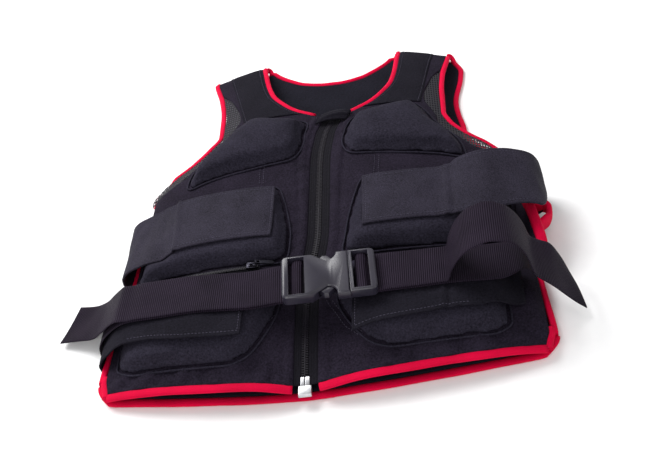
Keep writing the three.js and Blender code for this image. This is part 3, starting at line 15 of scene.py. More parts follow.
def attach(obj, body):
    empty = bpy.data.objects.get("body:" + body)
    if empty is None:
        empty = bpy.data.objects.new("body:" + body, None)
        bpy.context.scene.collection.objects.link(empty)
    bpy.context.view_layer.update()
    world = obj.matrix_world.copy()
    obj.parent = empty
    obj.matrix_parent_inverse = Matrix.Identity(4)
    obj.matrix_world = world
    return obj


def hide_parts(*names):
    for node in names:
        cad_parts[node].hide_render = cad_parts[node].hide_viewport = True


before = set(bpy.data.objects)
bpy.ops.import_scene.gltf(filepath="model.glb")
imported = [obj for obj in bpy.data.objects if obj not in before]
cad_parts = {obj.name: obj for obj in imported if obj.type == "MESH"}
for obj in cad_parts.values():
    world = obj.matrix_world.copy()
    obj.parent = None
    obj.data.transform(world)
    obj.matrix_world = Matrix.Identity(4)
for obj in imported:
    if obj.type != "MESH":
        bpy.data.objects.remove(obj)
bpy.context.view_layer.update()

# %% [markdown]
# The garment is measured in millimetres, as a pattern cutter would, and Blender works in metres. One number
# turns the first into the second. Two small functions cover most of the shaping below: `blend_between`
# mixes two values, and `ease` is a soft step from 0 to 1.

# %% Units and soft steps
MM = 0.001


def blend_between(start, end, share):
    return start + (end - start) * share


def ease(low, high, value):
    share = np.clip((value - low) / (high - low), 0, 1)
    return share * share * (3 - 2 * share)


print("one millimetre is", MM, "m")

# %% [markdown]
# A garment's outline is a curve through a few measured points. A plain polynomial would swing past them,
# and straight lines would leave corners, so this curve sets each slope from its two neighbours and stays
# between them.


# %% A smooth curve through a short table
def curve_through(*points):
    x, y = np.array(points, float).T
    rise = np.diff(y) / np.diff(x)
    slope = np.zeros(len(x))
    same_way = rise[:-1] * rise[1:] > 0
    total = np.where(same_way, rise[:-1] + rise[1:], 1)
    slope[1:-1] = np.where(same_way, 2 * rise[:-1] * rise[1:] / total, 0)

    def at(value):
        value = np.clip(np.asarray(value, float), x[0], x[-1])
        i = np.clip(np.searchsorted(x, value, side="right") - 1, 0, len(x) - 2)
        span = x[i + 1] - x[i]
        share = (value - x[i]) / span
        step = y[i + 1] - y[i]
        bend = (slope[i] * span - step) * (1 - share) + (step - slope[i + 1] * span) * share
        return blend_between(y[i], y[i + 1], share) + share * (1 - share) * bend

    return at


print("half way from 2 to 4:", float(curve_through((0, 2), (1, 4))(0.5)))

# %% [markdown]
# ## The camera and the light
#
# The vest is seen from above its hem, a little from the wearer's left, with the camera rolled. The numbers
# say where it looks from and at. The lens is long enough that the hem and the neck keep their proportions.

# %% Camera
VIEW_AZIMUTH, VIEW_ELEVATION, VIEW_ROLL = np.radians([7.22, 41.39, -9.17])
VIEW_DISTANCE = 1.09722
VIEW_TARGET = Vector((-0.00241, -0.08149, 0.030))
FOCAL_LENGTH_PER_WIDTH = 1000 / 650


def aim_camera():
    back = Vector((
        np.sin(VIEW_AZIMUTH) * np.cos(VIEW_ELEVATION),
        -np.cos(VIEW_AZIMUTH) * np.cos(VIEW_ELEVATION),
        np.sin(VIEW_ELEVATION),
    ))
    level_right = (-back).cross(Vector((0, 0, 1))).normalized()
    level_up = level_right.cross(-back)
    right = np.cos(VIEW_ROLL) * level_right + np.sin(VIEW_ROLL) * level_up
    up = np.cos(VIEW_ROLL) * level_up - np.sin(VIEW_ROLL) * level_right
    lens = bpy.data.cameras.new("camera")
    lens.sensor_width = 36
    lens.lens = 36 * FOCAL_LENGTH_PER_WIDTH
    lens.clip_end = 20
    camera = bpy.data.objects.new("camera", lens)
    bpy.context.scene.collection.objects.link(camera)
    turn = Matrix((right, up, back)).transposed().to_4x4()
    camera.matrix_world = Matrix.Translation(VIEW_TARGET + VIEW_DISTANCE * back) @ turn
    return camera


bpy.context.scene.camera = aim_camera()
print("camera at", [round(v, 3) for v in bpy.context.scene.camera.location])

# %% [markdown]
# Studio light for black cloth has to be big and soft, or the cloth turns into a hole with bright dots. A
# wide panel stands over the far left, a weak one fills from the right, and a third lights the hem from the
# front. The sky is a plain white room.


# %% Soft light
def hang_panel(name, place, aim, size, power):
    lamp = bpy.data.lights.new(name, "AREA")
    lamp.shape = "RECTANGLE"
    lamp.size, lamp.size_y = size
    lamp.energy = power
    panel = bpy.data.objects.new(name, lamp)
    panel.location = place
    panel.rotation_euler = (Vector(aim) - Vector(place)).to_track_quat("-Z", "Y").to_euler()
    bpy.context.scene.collection.objects.link(panel)
    return panel


hang_panel("key_panel", (-1.1, 0.9, 1.5), (0, 0, 0), (1.5, 1.1), 54)
hang_panel("fill_panel", (1.6, -0.6, 1.3), (0, -0.1, 0), (1.6, 1.6), 5)
hang_panel("front_panel", (-0.5, -1.9, 1.0), (0, -0.1, 0), (1.6, 1.0), 16)
room = bpy.data.worlds.new("room")
bpy.context.scene.world = room
room.use_nodes = True
room.node_tree.nodes["Background"].inputs["Color"].default_value = (1, 1, 1, 1)
room.node_tree.nodes["Background"].inputs["Strength"].default_value = 0.52
bpy.context.scene.view_settings.view_transform = "Standard"

# %% [markdown]
# ## Finishes
#
# A finish is a small network of shader nodes. Writing it as sums and products is easier to read than wiring
# boxes, so `Field` wraps one socket and gives it the usual operators. Adding two fields adds a Math node
# behind the scenes.


# %% Shader fields
class Field:
    def __init__(self, finish, socket):
        self.finish = finish
        self.socket = socket

    def math(self, operation, *others):
        return self.finish.node("ShaderNodeMath", {"operation": operation}, [self, *others])

    def __add__(self, other):
        return self.math("ADD", other)

    def __mul__(self, other):
        return self.math("MULTIPLY", other)

    def __sub__(self, other):
        return self.math("SUBTRACT", other)

    def __rsub__(self, other):
        return self.finish.node("ShaderNodeMath", {"operation": "SUBTRACT"}, [other, self])

    __radd__ = __add__
    __rmul__ = __mul__


print("fields add, subtract and multiply")

# %% [markdown]
# `Finish` owns one material. Its `node` method makes any node: settings first, because some of them change
# which sockets exist, and then a value or a link for each socket. Colours go through Mix, since a Math node
# would turn them grey.


# %% Material builder
class Finish:
    def __init__(self, name):
        self.material = bpy.data.materials.new(name)
        self.material.use_nodes = True
        self.tree = self.material.node_tree
        self.surface = self.tree.nodes["Principled BSDF"]

    def feed(self, socket, value):
        if isinstance(value, Field):
            self.tree.links.new(value.socket, socket)
        else:
            socket.default_value = value

    def node(self, kind, settings=None, inputs=(), output=0):
        made = self.tree.nodes.new(kind)
        for key, value in (settings or {}).items():
            setattr(made, key, value)
        pairs = inputs.items() if isinstance(inputs, dict) else enumerate(inputs)
        for key, value in pairs:
            self.feed(made.inputs[key], value)
        return Field(self, made.outputs[output])

    def place(self):
        return self.node("ShaderNodeTexCoord", output="Object")

    def woven(self):
        """How far across and along its own cloth a point lies, in millimetres."""
        weave = self.node("ShaderNodeAttribute", {"attribute_name": "weave"}, output="Vector")
        return (self.node("ShaderNodeSeparateXYZ", {}, [weave], output=axis) for axis in ("X", "Y"))

    def noise(self, scale, detail=2.0, where=None):
        return self.node("ShaderNodeTexNoise", {}, {
            "Vector": where or self.place(), "Scale": scale, "Detail": detail})

    def colours(self, share, start, end):
        made = self.tree.nodes.new("ShaderNodeMix")
        made.data_type = "RGBA"
        self.feed(made.inputs[0], share)
        self.feed(made.inputs[6], start)
        self.feed(made.inputs[7], end)
        return Field(self, made.outputs[2])

    def paint(self, **values):
        for name, value in values.items():
            self.feed(self.surface.inputs[name.replace("_", " ")], value)

    def relief(self, height, depth):
        bump = self.node("ShaderNodeBump", {}, {"Height": height, "Distance": depth, "Strength": 1.0})
        self.paint(Normal=bump)


def shade(red, green, blue):
    """A screen colour from 0 to 255 as the linear light that shaders work in."""
    srgb = np.array([red, green, blue]) / 255
    linear = np.where(srgb <= 0.04045, srgb / 12.92, ((srgb + 0.055) / 1.055) ** 2.4)
    return (*[float(v) for v in linear], 1.0)


print("mid grey is", round(shade(128, 128, 128)[0], 3))

# %% [markdown]
# The body is a soft, napped stretch cloth over foam. Its surface is thousands of short fibres, so the
# relief is fine noise at two scales. A broad, faint variation of tone keeps large areas from looking
# printed. Sheen and specular light grey a black cloth quickly, so the first is off by default and the
# second is low.

# %% Napped cloth of the body and the pads
def napped_cloth(name, dark, light, nap=0.0):
    finish = Finish(name)
    fibres = finish.noise(1500, 3)
    weave = finish.noise(520, 3)
    broad = finish.noise(24, 4)
    tone = fibres * 1.1 + weave * 1.3 + broad * 0.5 - 0.95
    finish.paint(Base_Color=finish.colours(tone, dark, light), Roughness=0.72 + 0.22 * weave)
    finish.paint(Sheen_Weight=nap, Sheen_Roughness=0.45, Specular_IOR_Level=0.05)
    finish.relief(fibres * 0.5 + weave, 0.0007)
    return finish.material


body_cloth = napped_cloth("body_cloth", shade(8, 6, 11), shade(46, 40, 54))
pad_cloth = napped_cloth("pad_cloth", shade(16, 14, 21), shade(53, 50, 63))
inner_cloth = napped_cloth("inner_cloth", shade(7, 7, 12), shade(37, 36, 46))
patch_cloth = napped_cloth("patch_cloth", shade(7, 6, 11), shade(35, 33, 42))
print("cloths:", body_cloth.name, pad_cloth.name, inner_cloth.name, patch_cloth.name)

# %% [markdown]
# The upper straps are a smoother laminated cloth with a tighter face, so they catch a little more light.
# The lower straps, the shoulder patches and the zip's cover are darker and wear the napped patch cloth from
# the cell above.

# %% Smooth laminated cloth
def smooth_cloth_finish():
    finish = Finish("smooth_cloth")
    grain = finish.noise(900, 3)
    broad = finish.noise(30, 4)
    tone = grain * 1.9 + broad * 0.6 - 0.75
    colour = finish.colours(tone, shade(11, 9, 15), shade(55, 51, 65))
    finish.paint(Base_Color=colour, Roughness=0.62 + 0.2 * grain)
    finish.paint(Sheen_Weight=0.02, Sheen_Roughness=0.4, Specular_IOR_Level=0.07)
    finish.relief(grain, 0.0006)
    return finish.material


smooth_cloth = smooth_cloth_finish()
print("the upper straps wear", smooth_cloth.name)

# %% [markdown]
# The armhole borders are open mesh. Real holes would need tens of thousands of edges, so the holes are cut
# in the shader: two slanted waves multiply into a grid of diamonds, and alpha is zero inside them. The mesh
# lies nearly flat, so its own place, in millimetres, sets the holes out at their true size.

# %% Open mesh
MESH_PITCH, MESH_SLANT, HOLE_LEVEL = 6.2, 0.6, 0.16


def mesh_finish():
    finish = Finish("open_mesh")
    flat = finish.node("ShaderNodeSeparateXYZ", {}, [finish.place()], output="X")
    across, along = flat * 1000, Field(finish, flat.socket.node.outputs["Y"]) * 1000
    lean = 2 * np.pi / MESH_PITCH
    first = (across * lean + along * (MESH_SLANT * lean)).math("SINE")
    second = (across * lean - along * (MESH_SLANT * lean)).math("SINE")
    hole = (first * second).math("GREATER_THAN", HOLE_LEVEL)
    grain = finish.noise(1500, 2)
    finish.paint(Base_Color=finish.colours(grain, shade(18, 16, 23), shade(44, 41, 51)), Roughness=0.8)
    finish.paint(Alpha=1 - hole)
    finish.relief(grain, 0.0002)
    return finish.material


open_mesh = mesh_finish()
print("mesh holes repeat every", MESH_PITCH / 2, "mm")

# %% [markdown]
# Binding is a narrow tape folded over the cloth's edge. Its face is a fine twill and its edges sit in
# shadow. The crimson is deep, slightly blue, and a little uneven where the tape is stretched round a curve.

# %% Crimson binding
def crimson_finish():
    finish = Finish("crimson_binding")
    across, along = finish.woven()
    twill = (along * 5.2 + across * 3.1).math("SINE") * 0.5 + 0.5
    grain = finish.noise(1400, 2)
    broad = finish.noise(26, 2)
    tone = twill * 0.25 + grain * 0.6 + broad * 0.7 - 0.25
    colour = finish.colours(tone, shade(168, 0, 38), shade(236, 0, 66))
    finish.paint(Base_Color=colour, Roughness=0.6 + 0.25 * grain)
    finish.paint(Specular_IOR_Level=0.08)
    finish.relief(twill * 0.7 + grain * 0.5, 0.0002)
    return finish.material


crimson = crimson_finish()
print("binding wears", crimson.name)

# %% [markdown]
# Heavy nylon webbing is woven with ribs that run across it, about 2 mm apart. The weave is a wave along the
# strip's length with a finer one across. Each rib's crest is painted lighter than the groove beside it:
# painted light on the crests and painted shade in the grooves.

# %% Ribbed webbing
RIB_PITCH, YARN_PITCH = 2.1, 0.9


def webbing_finish():
    finish = Finish("ribbed_webbing")
    across, along = finish.woven()
    rib = (along * (2 * np.pi / RIB_PITCH)).math("SINE") * 0.5 + 0.5
    yarn = (across * (2 * np.pi / YARN_PITCH) + along * 1.8).math("SINE") * 0.5 + 0.5
    grain = finish.noise(2000, 2)
    broad = finish.noise(26, 4)
    # Painted light and shade: the rib wave lightens each crest and darkens each groove.
    tone = rib * 0.65 + yarn * 0.15 + grain * 0.5 + broad * 0.6 - 0.42
    finish.paint(Base_Color=finish.colours(tone, shade(3, 2, 5), shade(49, 40, 55)), Roughness=0.7 - 0.15 * rib)
    finish.paint(Specular_IOR_Level=0.06)
    finish.relief(rib + yarn * 0.3, 0.0005)
    return finish.material


ribbed_webbing = webbing_finish()
print("webbing ribs every", RIB_PITCH, "mm")

# %% [markdown]
# The buckle is moulded acetal: dark grey, satin, with a faint orange-peel surface. The zip has woven tape,
# moulded teeth and a few plated metal parts whose plating has dulled unevenly. The last cloths are for the
# tape, the threads and a pale sheet under the mesh, whose colour is painted light seen through the holes.

# %% Hard finishes and zip tape
def moulded_finish(name, dark, light, roughness, gloss):
    finish = Finish(name)
    peel = finish.noise(420, 3)
    broad = finish.noise(40, 2)
    finish.paint(Base_Color=finish.colours(broad, dark, light), Roughness=roughness + 0.12 * peel)
    finish.paint(Specular_IOR_Level=gloss)
    finish.relief(peel, 0.00006)
    return finish.material


def plated_finish(name, dark, light):
    finish = Finish(name)
    cloud = finish.noise(180, 4)
    scratch = finish.noise(900, 2)
    finish.paint(Base_Color=finish.colours(cloud, dark, light), Metallic=1.0, Roughness=0.24 + 0.25 * scratch)
    finish.relief(scratch, 0.00003)
    return finish.material


satin_acetal = moulded_finish("satin_acetal", shade(33, 30, 41), shade(44, 41, 54), 0.3, 0.55)
zip_plastic = moulded_finish("zip_plastic", shade(17, 14, 21), shade(32, 28, 38), 0.5, 0.25)
plated_zinc = plated_finish("plated_zinc", shade(160, 160, 164), shade(226, 226, 230))
dark_plate = plated_finish("dark_plate", shade(26, 25, 31), shade(60, 59, 68))
zip_tape_cloth = napped_cloth("zip_tape_cloth", shade(14, 13, 17), shade(28, 26, 33), 0.03)
stitch_thread = napped_cloth("stitch_thread", shade(48, 46, 56), shade(84, 80, 95))
# Painted light: a pale cloth for the sheet under the mesh, standing in for the light seen through its holes.
mesh_lining = napped_cloth("mesh_lining", shade(120, 118, 126), shade(172, 170, 178), 0.05)
pale_thread = napped_cloth("pale_thread", shade(120, 118, 130), shade(190, 188, 198), 0.1)
print("hard finishes:", satin_acetal.name, zip_plastic.name, plated_zinc.name)

# %% [markdown]
# The floor is a plain pale sweep. It is staged, so it isn't part of the vest.

# %% Floor
def lay_floor():
    finish = Finish("pale_floor")
    speck = finish.noise(60, 2)
    finish.paint(Base_Color=finish.colours(speck, shade(243, 243, 244), shade(250, 250, 250)), Roughness=0.7)
    mesh = bpy.data.meshes.new("floor")
    mesh.from_pydata([(-6, -6, 0), (6, -6, 0), (6, 6, 0), (-6, 6, 0)], [], [(0, 1, 2, 3)])
    mesh.materials.append(finish.material)
    floor = bpy.data.objects.new("floor", mesh)
    bpy.context.scene.collection.objects.link(floor)


lay_floor()
print("floor laid")

# %% [markdown]
# ## The vest's own map
#
# A point on the laid vest is named by `gx`, across from its middle line, and `row`, from hem to shoulder.
# The middle line drifts where the zip curves, the hem rises at its sides and the shoulders slope, so
# `place` bends the plain grid into the laid garment. The CAD model was drawn through the same map, so the
# two agree.

# %% From the grid to the laid vest
HALF_BODY, HALF_SHOULDER, HALF_NECK, HALF_LENGTH = 229, 165, 89, 294
HEM, FOLD, NECK_BOTTOM = -HALF_LENGTH, HALF_LENGTH, 121
CLOTH, SEAT = 3.6, 0.3
EDGE_INSET, HEM_INSET = 6.8, 9.3
EDGE_TAPE, HEM_TAPE = 6.5, 9
SIDES = {"right": -1, "left": 1}

zip_drift = curve_through((-1, -20), (-0.63, -19), (-0.3, -9), (0.1, -9.6), (0.28, -5), (0.42, 5), (1, -3))


def place(gx, row, z):
    gx, row, z = np.broadcast_arrays(np.asarray(gx, float), row, z)
    out = np.minimum(1, np.abs(gx) / HALF_BODY)
    hem_rise = 24 * out ** 1.4 * ease(HEM + 70, HEM, row)
    shoulder_drop = 0.33 * np.maximum(0, np.abs(gx) - HALF_NECK) * ease(0.45 * FOLD, FOLD, row)
    x = gx + zip_drift(row / HALF_LENGTH) * (1 - out)
    return np.stack([x, row + hem_rise - shoulder_drop + 0.065 * gx, z], -1)


def unplace(x, y):
    """The grid's gx and row under a place, by a few corrections of a first guess."""
    gx, row = np.array(x, float), np.array(y, float)
    for _ in range(14):
        there = place(gx, row, 0)
        gx += x - there[..., 0]
        row += y - there[..., 1]
    return gx, row


print("the buckle's row runs through", place(0, -192, 0).round(1))

# %% [markdown]
# The front cloth lies over a folded torso's worth of air and padding: a plateau that rounds down to the
# sides, with a valley along the zip. Its outline narrows at the armholes. Each curve below is a short table
# of measured points.

# %% The front cloth's outline and height
front_outer = curve_through(
    (-1, 220.3), (-0.87, 225.6), (-0.62, 224.4), (-0.38, 215.7), (-0.1, 214.1), (0.09, 214.1), (0.14, 205),
    (0.19, 191.4), (0.25, 170), (0.32, 151.8), (0.4, 142.7), (0.55, 143.6), (0.72, 148.5), (1, 161.7))
neck_inner = curve_through(
    (121, 13), (127.06, 21.36), (136.57, 37.38), (155.6, 55.18), (190.2, 73.87), (242.1, 83.66), (294, 89))
plateau = curve_through(
    (-1, 22.96), (-0.82, 28.7), (-0.6, 35.26), (-0.2, 41), (0.3, 41), (0.5, 36.9), (0.8, 27.06), (0.93, 20.5),
    (0.98, 12.3), (1, 5.7))
edge_height = curve_through((0.06, 8), (0.2, 16.4), (0.35, 25.42), (0.7, 22.55), (0.92, 17.22), (1, 5.7))
mesh_width = curve_through((0.05, 0), (0.14, 30), (0.24, 24), (0.36, 10), (0.48, 21), (0.66, 12), (0.8, 0))
ZIP_HALF = 12.5


def front_height(gx, row):
    share = row / HALF_LENGTH
    across = np.minimum(1, np.abs(gx) / front_outer(share))
    valley = 4 * ease(0.8, 0.3, share) + 6 * ease(-0.75, -1, share)
    rounded = blend_between(edge_height(share), plateau(share), 1 - across ** 4.5)
    return rounded - valley * np.exp(-(gx / 34) ** 2)


def front_top(gx, row):
    return front_height(gx, row) + CLOTH / 2


def front_inner(row):
    inset = EDGE_INSET * ease(NECK_BOTTOM - 1, NECK_BOTTOM + 4, row)
    neck = np.maximum(ZIP_HALF + SEAT, neck_inner(row)) + inset
    return np.where(row > NECK_BOTTOM - 1, neck, ZIP_HALF + SEAT)


print("front cloth is", float(front_top(100, 0)), "mm up beside the pads")

# %% [markdown]
# ## Making cloth
#
# A sheet of cloth is a grid of points, its middle surface, thickened both ways along its normal and closed
# round the rim. The rim gets one more row of points pushed outwards, so its edge is rounded and catches
# light as cut cloth does. The attribute `weave` holds the distance across and along in millimetres for the
# patterns.


# %% Pieces from points
def make_piece(name, points, faces, finish, weave=None):
    mesh = bpy.data.meshes.new(name)
    mesh.from_pydata((np.asarray(points) * MM).tolist(), [], np.asarray(faces).tolist())
    mesh.materials.append(finish)
    if weave is not None:
        layer = mesh.attributes.new("weave", "FLOAT_VECTOR", "POINT")
        layer.data.foreach_set("vector", np.column_stack([weave, np.zeros(len(weave))]).ravel())
    mesh.shade_smooth()
    piece = bpy.data.objects.new(name, mesh)
    bpy.context.scene.collection.objects.link(piece)
    return piece


def outward(points, faces):
    """The faces, all turned over if they enclose a negative volume."""
    points, faces = np.asarray(points), np.asarray(faces)
    a, b, c = (points[faces[:, k]] for k in (0, 1, 2))
    volume = np.einsum("ij,ij->", a, np.cross(b, c))
    if faces.shape[1] == 4:
        volume += np.einsum("ij,ij->", a, np.cross(c, points[faces[:, 3]]))
    return faces if volume > 0 else faces[:, ::-1]


def wear(piece, slot, *nodes, body="vest"):
    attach(piece, body)
    if nodes:
        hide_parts(*nodes)
    return piece


def surface_normals(middle):
    across = np.gradient(middle, axis=1)
    along = np.gradient(middle, axis=0)
    normal = np.cross(across, along)
    return normal / np.linalg.norm(normal, axis=2, keepdims=True)


cut_from = {}


def cloth_sheet(name, middle, thickness, finish):
    cut_from[name] = middle
    rows, columns = middle.shape[:2]
    normal = surface_normals(middle) * thickness / 2
    rim = [(0, i) for i in range(columns)] + [(j, columns - 1) for j in range(1, rows)]
    rim += [(rows - 1, i) for i in range(columns - 2, -1, -1)] + [(j, 0) for j in range(rows - 2, 0, -1)]
    rj, ri = np.array(rim).T
    inside = middle[np.clip(rj, 1, rows - 2), np.clip(ri, 1, columns - 2)]
    push = middle[rj, ri] - inside
    push *= 0.4 * thickness / np.linalg.norm(push, axis=1, keepdims=True)
    upper_face, lower_face = (middle + normal).reshape(-1, 3), (middle - normal).reshape(-1, 3)
    points = np.concatenate([upper_face, lower_face, middle[rj, ri] + push])
    j, i = np.meshgrid(np.arange(rows - 1), np.arange(columns - 1), indexing="ij")
    a = (j * columns + i).ravel()
    top = np.stack([a, a + 1, a + columns + 1, a + columns], 1)
    low = top[:, ::-1] + rows * columns
    edge = rj * columns + ri
    ring = 2 * rows * columns + np.arange(len(edge))
    upper = np.stack([np.roll(edge, -1), edge, ring, np.roll(ring, -1)], 1)
    lower = np.stack([np.roll(ring, -1), ring, edge + rows * columns, np.roll(edge, -1) + rows * columns], 1)
    faces = outward(points, np.concatenate([top, low, upper, lower]))
    step_across = np.linalg.norm(np.diff(middle, axis=1), axis=2)
    step_along = np.linalg.norm(np.diff(middle, axis=0), axis=2).mean(1)
    across = np.hstack([np.zeros((rows, 1)), step_across.cumsum(1)])
    across -= across[:, -1:] / 2
    along = np.concatenate([[0], step_along.cumsum()])[:, None] + np.zeros((1, columns))
    weave = np.stack([across, along], -1)
    weave = np.concatenate([weave.reshape(-1, 2), weave.reshape(-1, 2), weave[rj, ri]])
    return make_piece(name, points, faces, finish, weave)


def flat_size(middle):
    """The size a strip was cut to: its mean width and its mean length, in metres."""
    width = np.linalg.norm(np.diff(middle, axis=1), axis=2).sum(1).mean()
    length = np.linalg.norm(np.diff(middle, axis=0), axis=2).sum(0).mean()
    return width * MM, length * MM


def cloth_area(middle):
    u = middle[:-1, 1:] - middle[:-1, :-1]
    v = middle[1:, :-1] - middle[:-1, :-1]
    return np.linalg.norm(np.cross(u, v), axis=2).sum() * MM * MM


print("cloth helpers ready")

# %% [markdown]
# ## Front and back
#
# A printed pattern of wrinkles would look the same everywhere. On the real vest the cloth is gathered by
# the seams round the pads, so it pleats between the lower pads and the hem, ripples beside the zip, and
# lies calm elsewhere. The wrinkles below are waves whose strength is masked to those places.


# %% Wrinkles and seams of the front cloth
def seam_groove(gx, row, line, depth=0.7, width=1.5):
    """A stitched crease along a line of points in the grid, with the cloth puffed a little beside it."""
    near = np.full(np.broadcast(gx, row).shape, 1e9)
    for (ax, ay), (bx, by) in zip(line, line[1:]):
        t = np.clip(((gx - ax) * (bx - ax) + (row - ay) * (by - ay)) / ((bx - ax) ** 2 + (by - ay) ** 2), 0, 1)
        near = np.minimum(near, np.hypot(gx - ax - t * (bx - ax), row - ay - t * (by - ay)))
    return -depth * np.exp(-(near / width) ** 2) + 0.3 * depth * np.exp(-((near - 2.6 * width) / width) ** 2)


FRONT_SEAMS = {
    "right": [[(70.5, 27), (70, 0)], [(34, -201.5), (47.3, -216.5), (58.8, -239.8), (72, -250)]],
    "left": [[(64.7, 22), (63.1, -8)], [(21.5, -193), (30.3, -210), (39.6, -228.4), (50, -240)]],
}


def front_relief(side, name, gx, row):
    hem_pleats = ease(-250, -268, row) * ease(HEM + 6, HEM + 15, row) * ease(24, 40, gx)
    pleat = np.sin(gx / 3.4 + 2 * np.sin(gx / 17 + side)) * 0.5
    pleat = pleat + np.sin(gx / 6.3 + side + row / 9 + np.sin(gx / 31)) * 1.1
    beside_zip = ease(52, 30, gx) * ease(15, 20, gx) * ease(-250, -200, row) * ease(118, 90, row)
    ripple = np.sin(row / 3.4 + 1.3 * np.sin(row / 21 + side * 2) + gx / 14) * 0.35
    broad = np.sin(gx / 23 + row / 31 + side) * np.sin(row / 27 - gx / 40) * 0.8 * ease(150, 120, row)
    fold_line = ZIP_HALF + 4.5 + 5 * ease(-60, 60, row)
    placket = 1.9 * np.exp(-((gx - fold_line) / 2.6) ** 2) - 1.1 * np.exp(-((gx - fold_line - 6.5) / 1.8) ** 2)
    hump = 5 * np.exp(-((gx - 207) / 15) ** 2 - ((row + 212) / 34) ** 2) * (side > 0)
    relief = hem_pleats * pleat * 1.5 + beside_zip * ripple * 1.5 + broad * ease(15, 40, gx) + hump
    relief = relief + placket * ease(130, 110, row)
    for line in FRONT_SEAMS[name]:
        relief = relief + seam_groove(gx, row, line)
    return relief


print("relief between the waist pads and the hem:",
      round(float(np.ptp(front_relief(1, "left", np.linspace(50, 200, 300), -278))), 2), "mm")

# %% [markdown]
# Each front is one piece of cloth from hem to shoulder. A grid spacing near 3 mm holds the pleats and the
# turns of the outline at the armhole and the neck. `armhole_tuck` says where the cloth rolls over the
# binding at the foot of the wearer's right armhole. The mesh and the binding use it too.


# %% Front panels
def rows_between(low, high, step=3.0):
    return np.linspace(low, high, int((high - low) / step) + 2)


def front_panel(name, side):
    row = rows_between(HEM + HEM_INSET, FOLD)[:, None]
    share = np.linspace(0, 1, 68)[None, :]
    outer = front_outer(row / HALF_LENGTH) - EDGE_INSET - mesh_width(row / HALF_LENGTH)
    gx = blend_between(front_inner(row), outer, share)
    lift = front_relief(side, name, gx, row + 0 * gx) * ease(0, 0.03, share) * ease(1, 0.97, share)
    middle = place(side * gx, row, front_height(gx, row) + lift)
    return cloth_sheet(f"front_cloth_{name}", middle, CLOTH, body_cloth), middle


def armhole_tuck(name, row):
    """On the wearer's right the cloth rolls over the binding at the foot of the armhole and hides it."""
    return ease(8, 18, row) * ease(56, 42, row) * (name == "right")


for name, side in SIDES.items():
    panel, middle = front_panel(name, side)
    wear(panel, "cloth", f"front_panel_{name}")
    print(panel.name, "flat", [round(v, 3) for v in flat_size(middle)], "area", round(cloth_area(middle), 4))

# %% [markdown]
# The back lies flat on the surface and shows inside the neck and under the hem. It is a little wider than
# the front and has shifted to the wearer's left. It wears the darker inner cloth.


# %% Back panel
back_outer = curve_through(
    (-1, 196.9), (-0.97, 216.4), (-0.88, 227.9), (-0.62, 224.4), (-0.38, 215.7), (0.08, 214.1), (0.15, 203.8),
    (0.22, 181.5), (0.34, 156.8), (0.55, 148.5), (0.8, 160.1), (1, 165))
back_neck = curve_through((0, 248.4), (31.15, 254.8), (56, 270.5), (71, 284), (79, 294))
BACK_NECK_ROW, BACK_FOLD = 0.78 * HALF_LENGTH, FOLD - 10
BACK_NECK_SHARE, BACK_TAPE_HEIGHT = 0.57, 2.9


def back_edge(side, row):
    shift = ease(0.1, 0.4, row / HALF_LENGTH) * ease(1, 0.88, row / HALF_LENGTH)
    return back_outer(row / HALF_LENGTH) + side * 13 * shift - EDGE_INSET


def back_grid(share, flat):
    """A point of the back: share runs from -1 to 1 across, and the last rows bend to the neck's curve."""
    side, out = np.sign(share), np.abs(share)
    gx = out * back_edge(side, np.minimum(flat, BACK_FOLD))
    end = out * back_edge(side, BACK_FOLD)
    neck = np.minimum(BACK_FOLD, back_neck(np.maximum(0, end - EDGE_INSET)) - EDGE_INSET)
    late = np.clip((flat - BACK_NECK_ROW) / (BACK_FOLD - BACK_NECK_ROW), 0, 1)
    return side * gx, np.where(flat > BACK_NECK_ROW, blend_between(BACK_NECK_ROW, neck, late), flat)


def back_panel():
    share = np.linspace(-1, 1, 111)[None, :]
    flat = rows_between(HEM + HEM_INSET, BACK_FOLD, 4)[:, None] + 0 * share
    gx, row = back_grid(share, flat)
    ripple = 0.25 * np.sin(gx / 19) * np.sin(row / 23)
    middle = place(gx, row, CLOTH / 2 + 0.25 + ripple)
    return cloth_sheet("back_cloth", middle, CLOTH - 0.4, inner_cloth)


wear(back_panel(), "cloth", "back_panel")
print("back laid")

# %% [markdown]
# The armhole borders are single sheets of open mesh between the front cloth and the binding. On the
# wearer's right light shows through the mesh, and a pale sheet just under it there paints that light.


# %% Armhole mesh
def armhole_mesh(name, side):
    row = rows_between(0.05 * HALF_LENGTH + 2.4, 0.8 * HALF_LENGTH - 3.5, 2.5)[:, None]
    outer = front_outer(row / HALF_LENGTH) - EDGE_INSET + 6 * armhole_tuck(name, row)
    gx = blend_between(outer - mesh_width(row / HALF_LENGTH) + 0.8, outer, np.linspace(0, 1, 12)[None, :])
    middle = place(side * gx, row, front_height(gx, row) + 0.4 * np.sin(row / 11 + gx / 9))
    return cloth_sheet(f"open_mesh_{name}", middle, 0.9, open_mesh)


# Painted light: a pale sheet under the right mesh, whose colour stands in for the light seen through the holes.
def mesh_backing(name, side):
    row = rows_between(0.07 * HALF_LENGTH, 0.76 * HALF_LENGTH, 4)[:, None]
    outer = front_outer(row / HALF_LENGTH) - EDGE_INSET + 3 * armhole_tuck(name, row)
    gx = blend_between(outer - mesh_width(row / HALF_LENGTH) + 1.5, outer - 0.5, np.linspace(0, 1, 6)[None, :])
    middle = place(side * gx, row, front_height(gx, row) - 2.0)
    return cloth_sheet(f"mesh_backing_{name}", middle, 0.6, mesh_lining)


for name, side in SIDES.items():
    wear(armhole_mesh(name, side), "mesh_cloth", f"armhole_mesh_{name}")
wear(mesh_backing("right", -1), "mesh_cloth")
print("mesh laid beside both armholes")

# %% [markdown]
# ## Binding
#
# The binding is a tape folded over each raw edge and sewn through. In section it is a flattened loop,
# fuller at the fold than at the seam. `bind` carries that section along an edge, and lets its width and
# height waver a little, because a tape sewn round a curve never lies perfectly even.


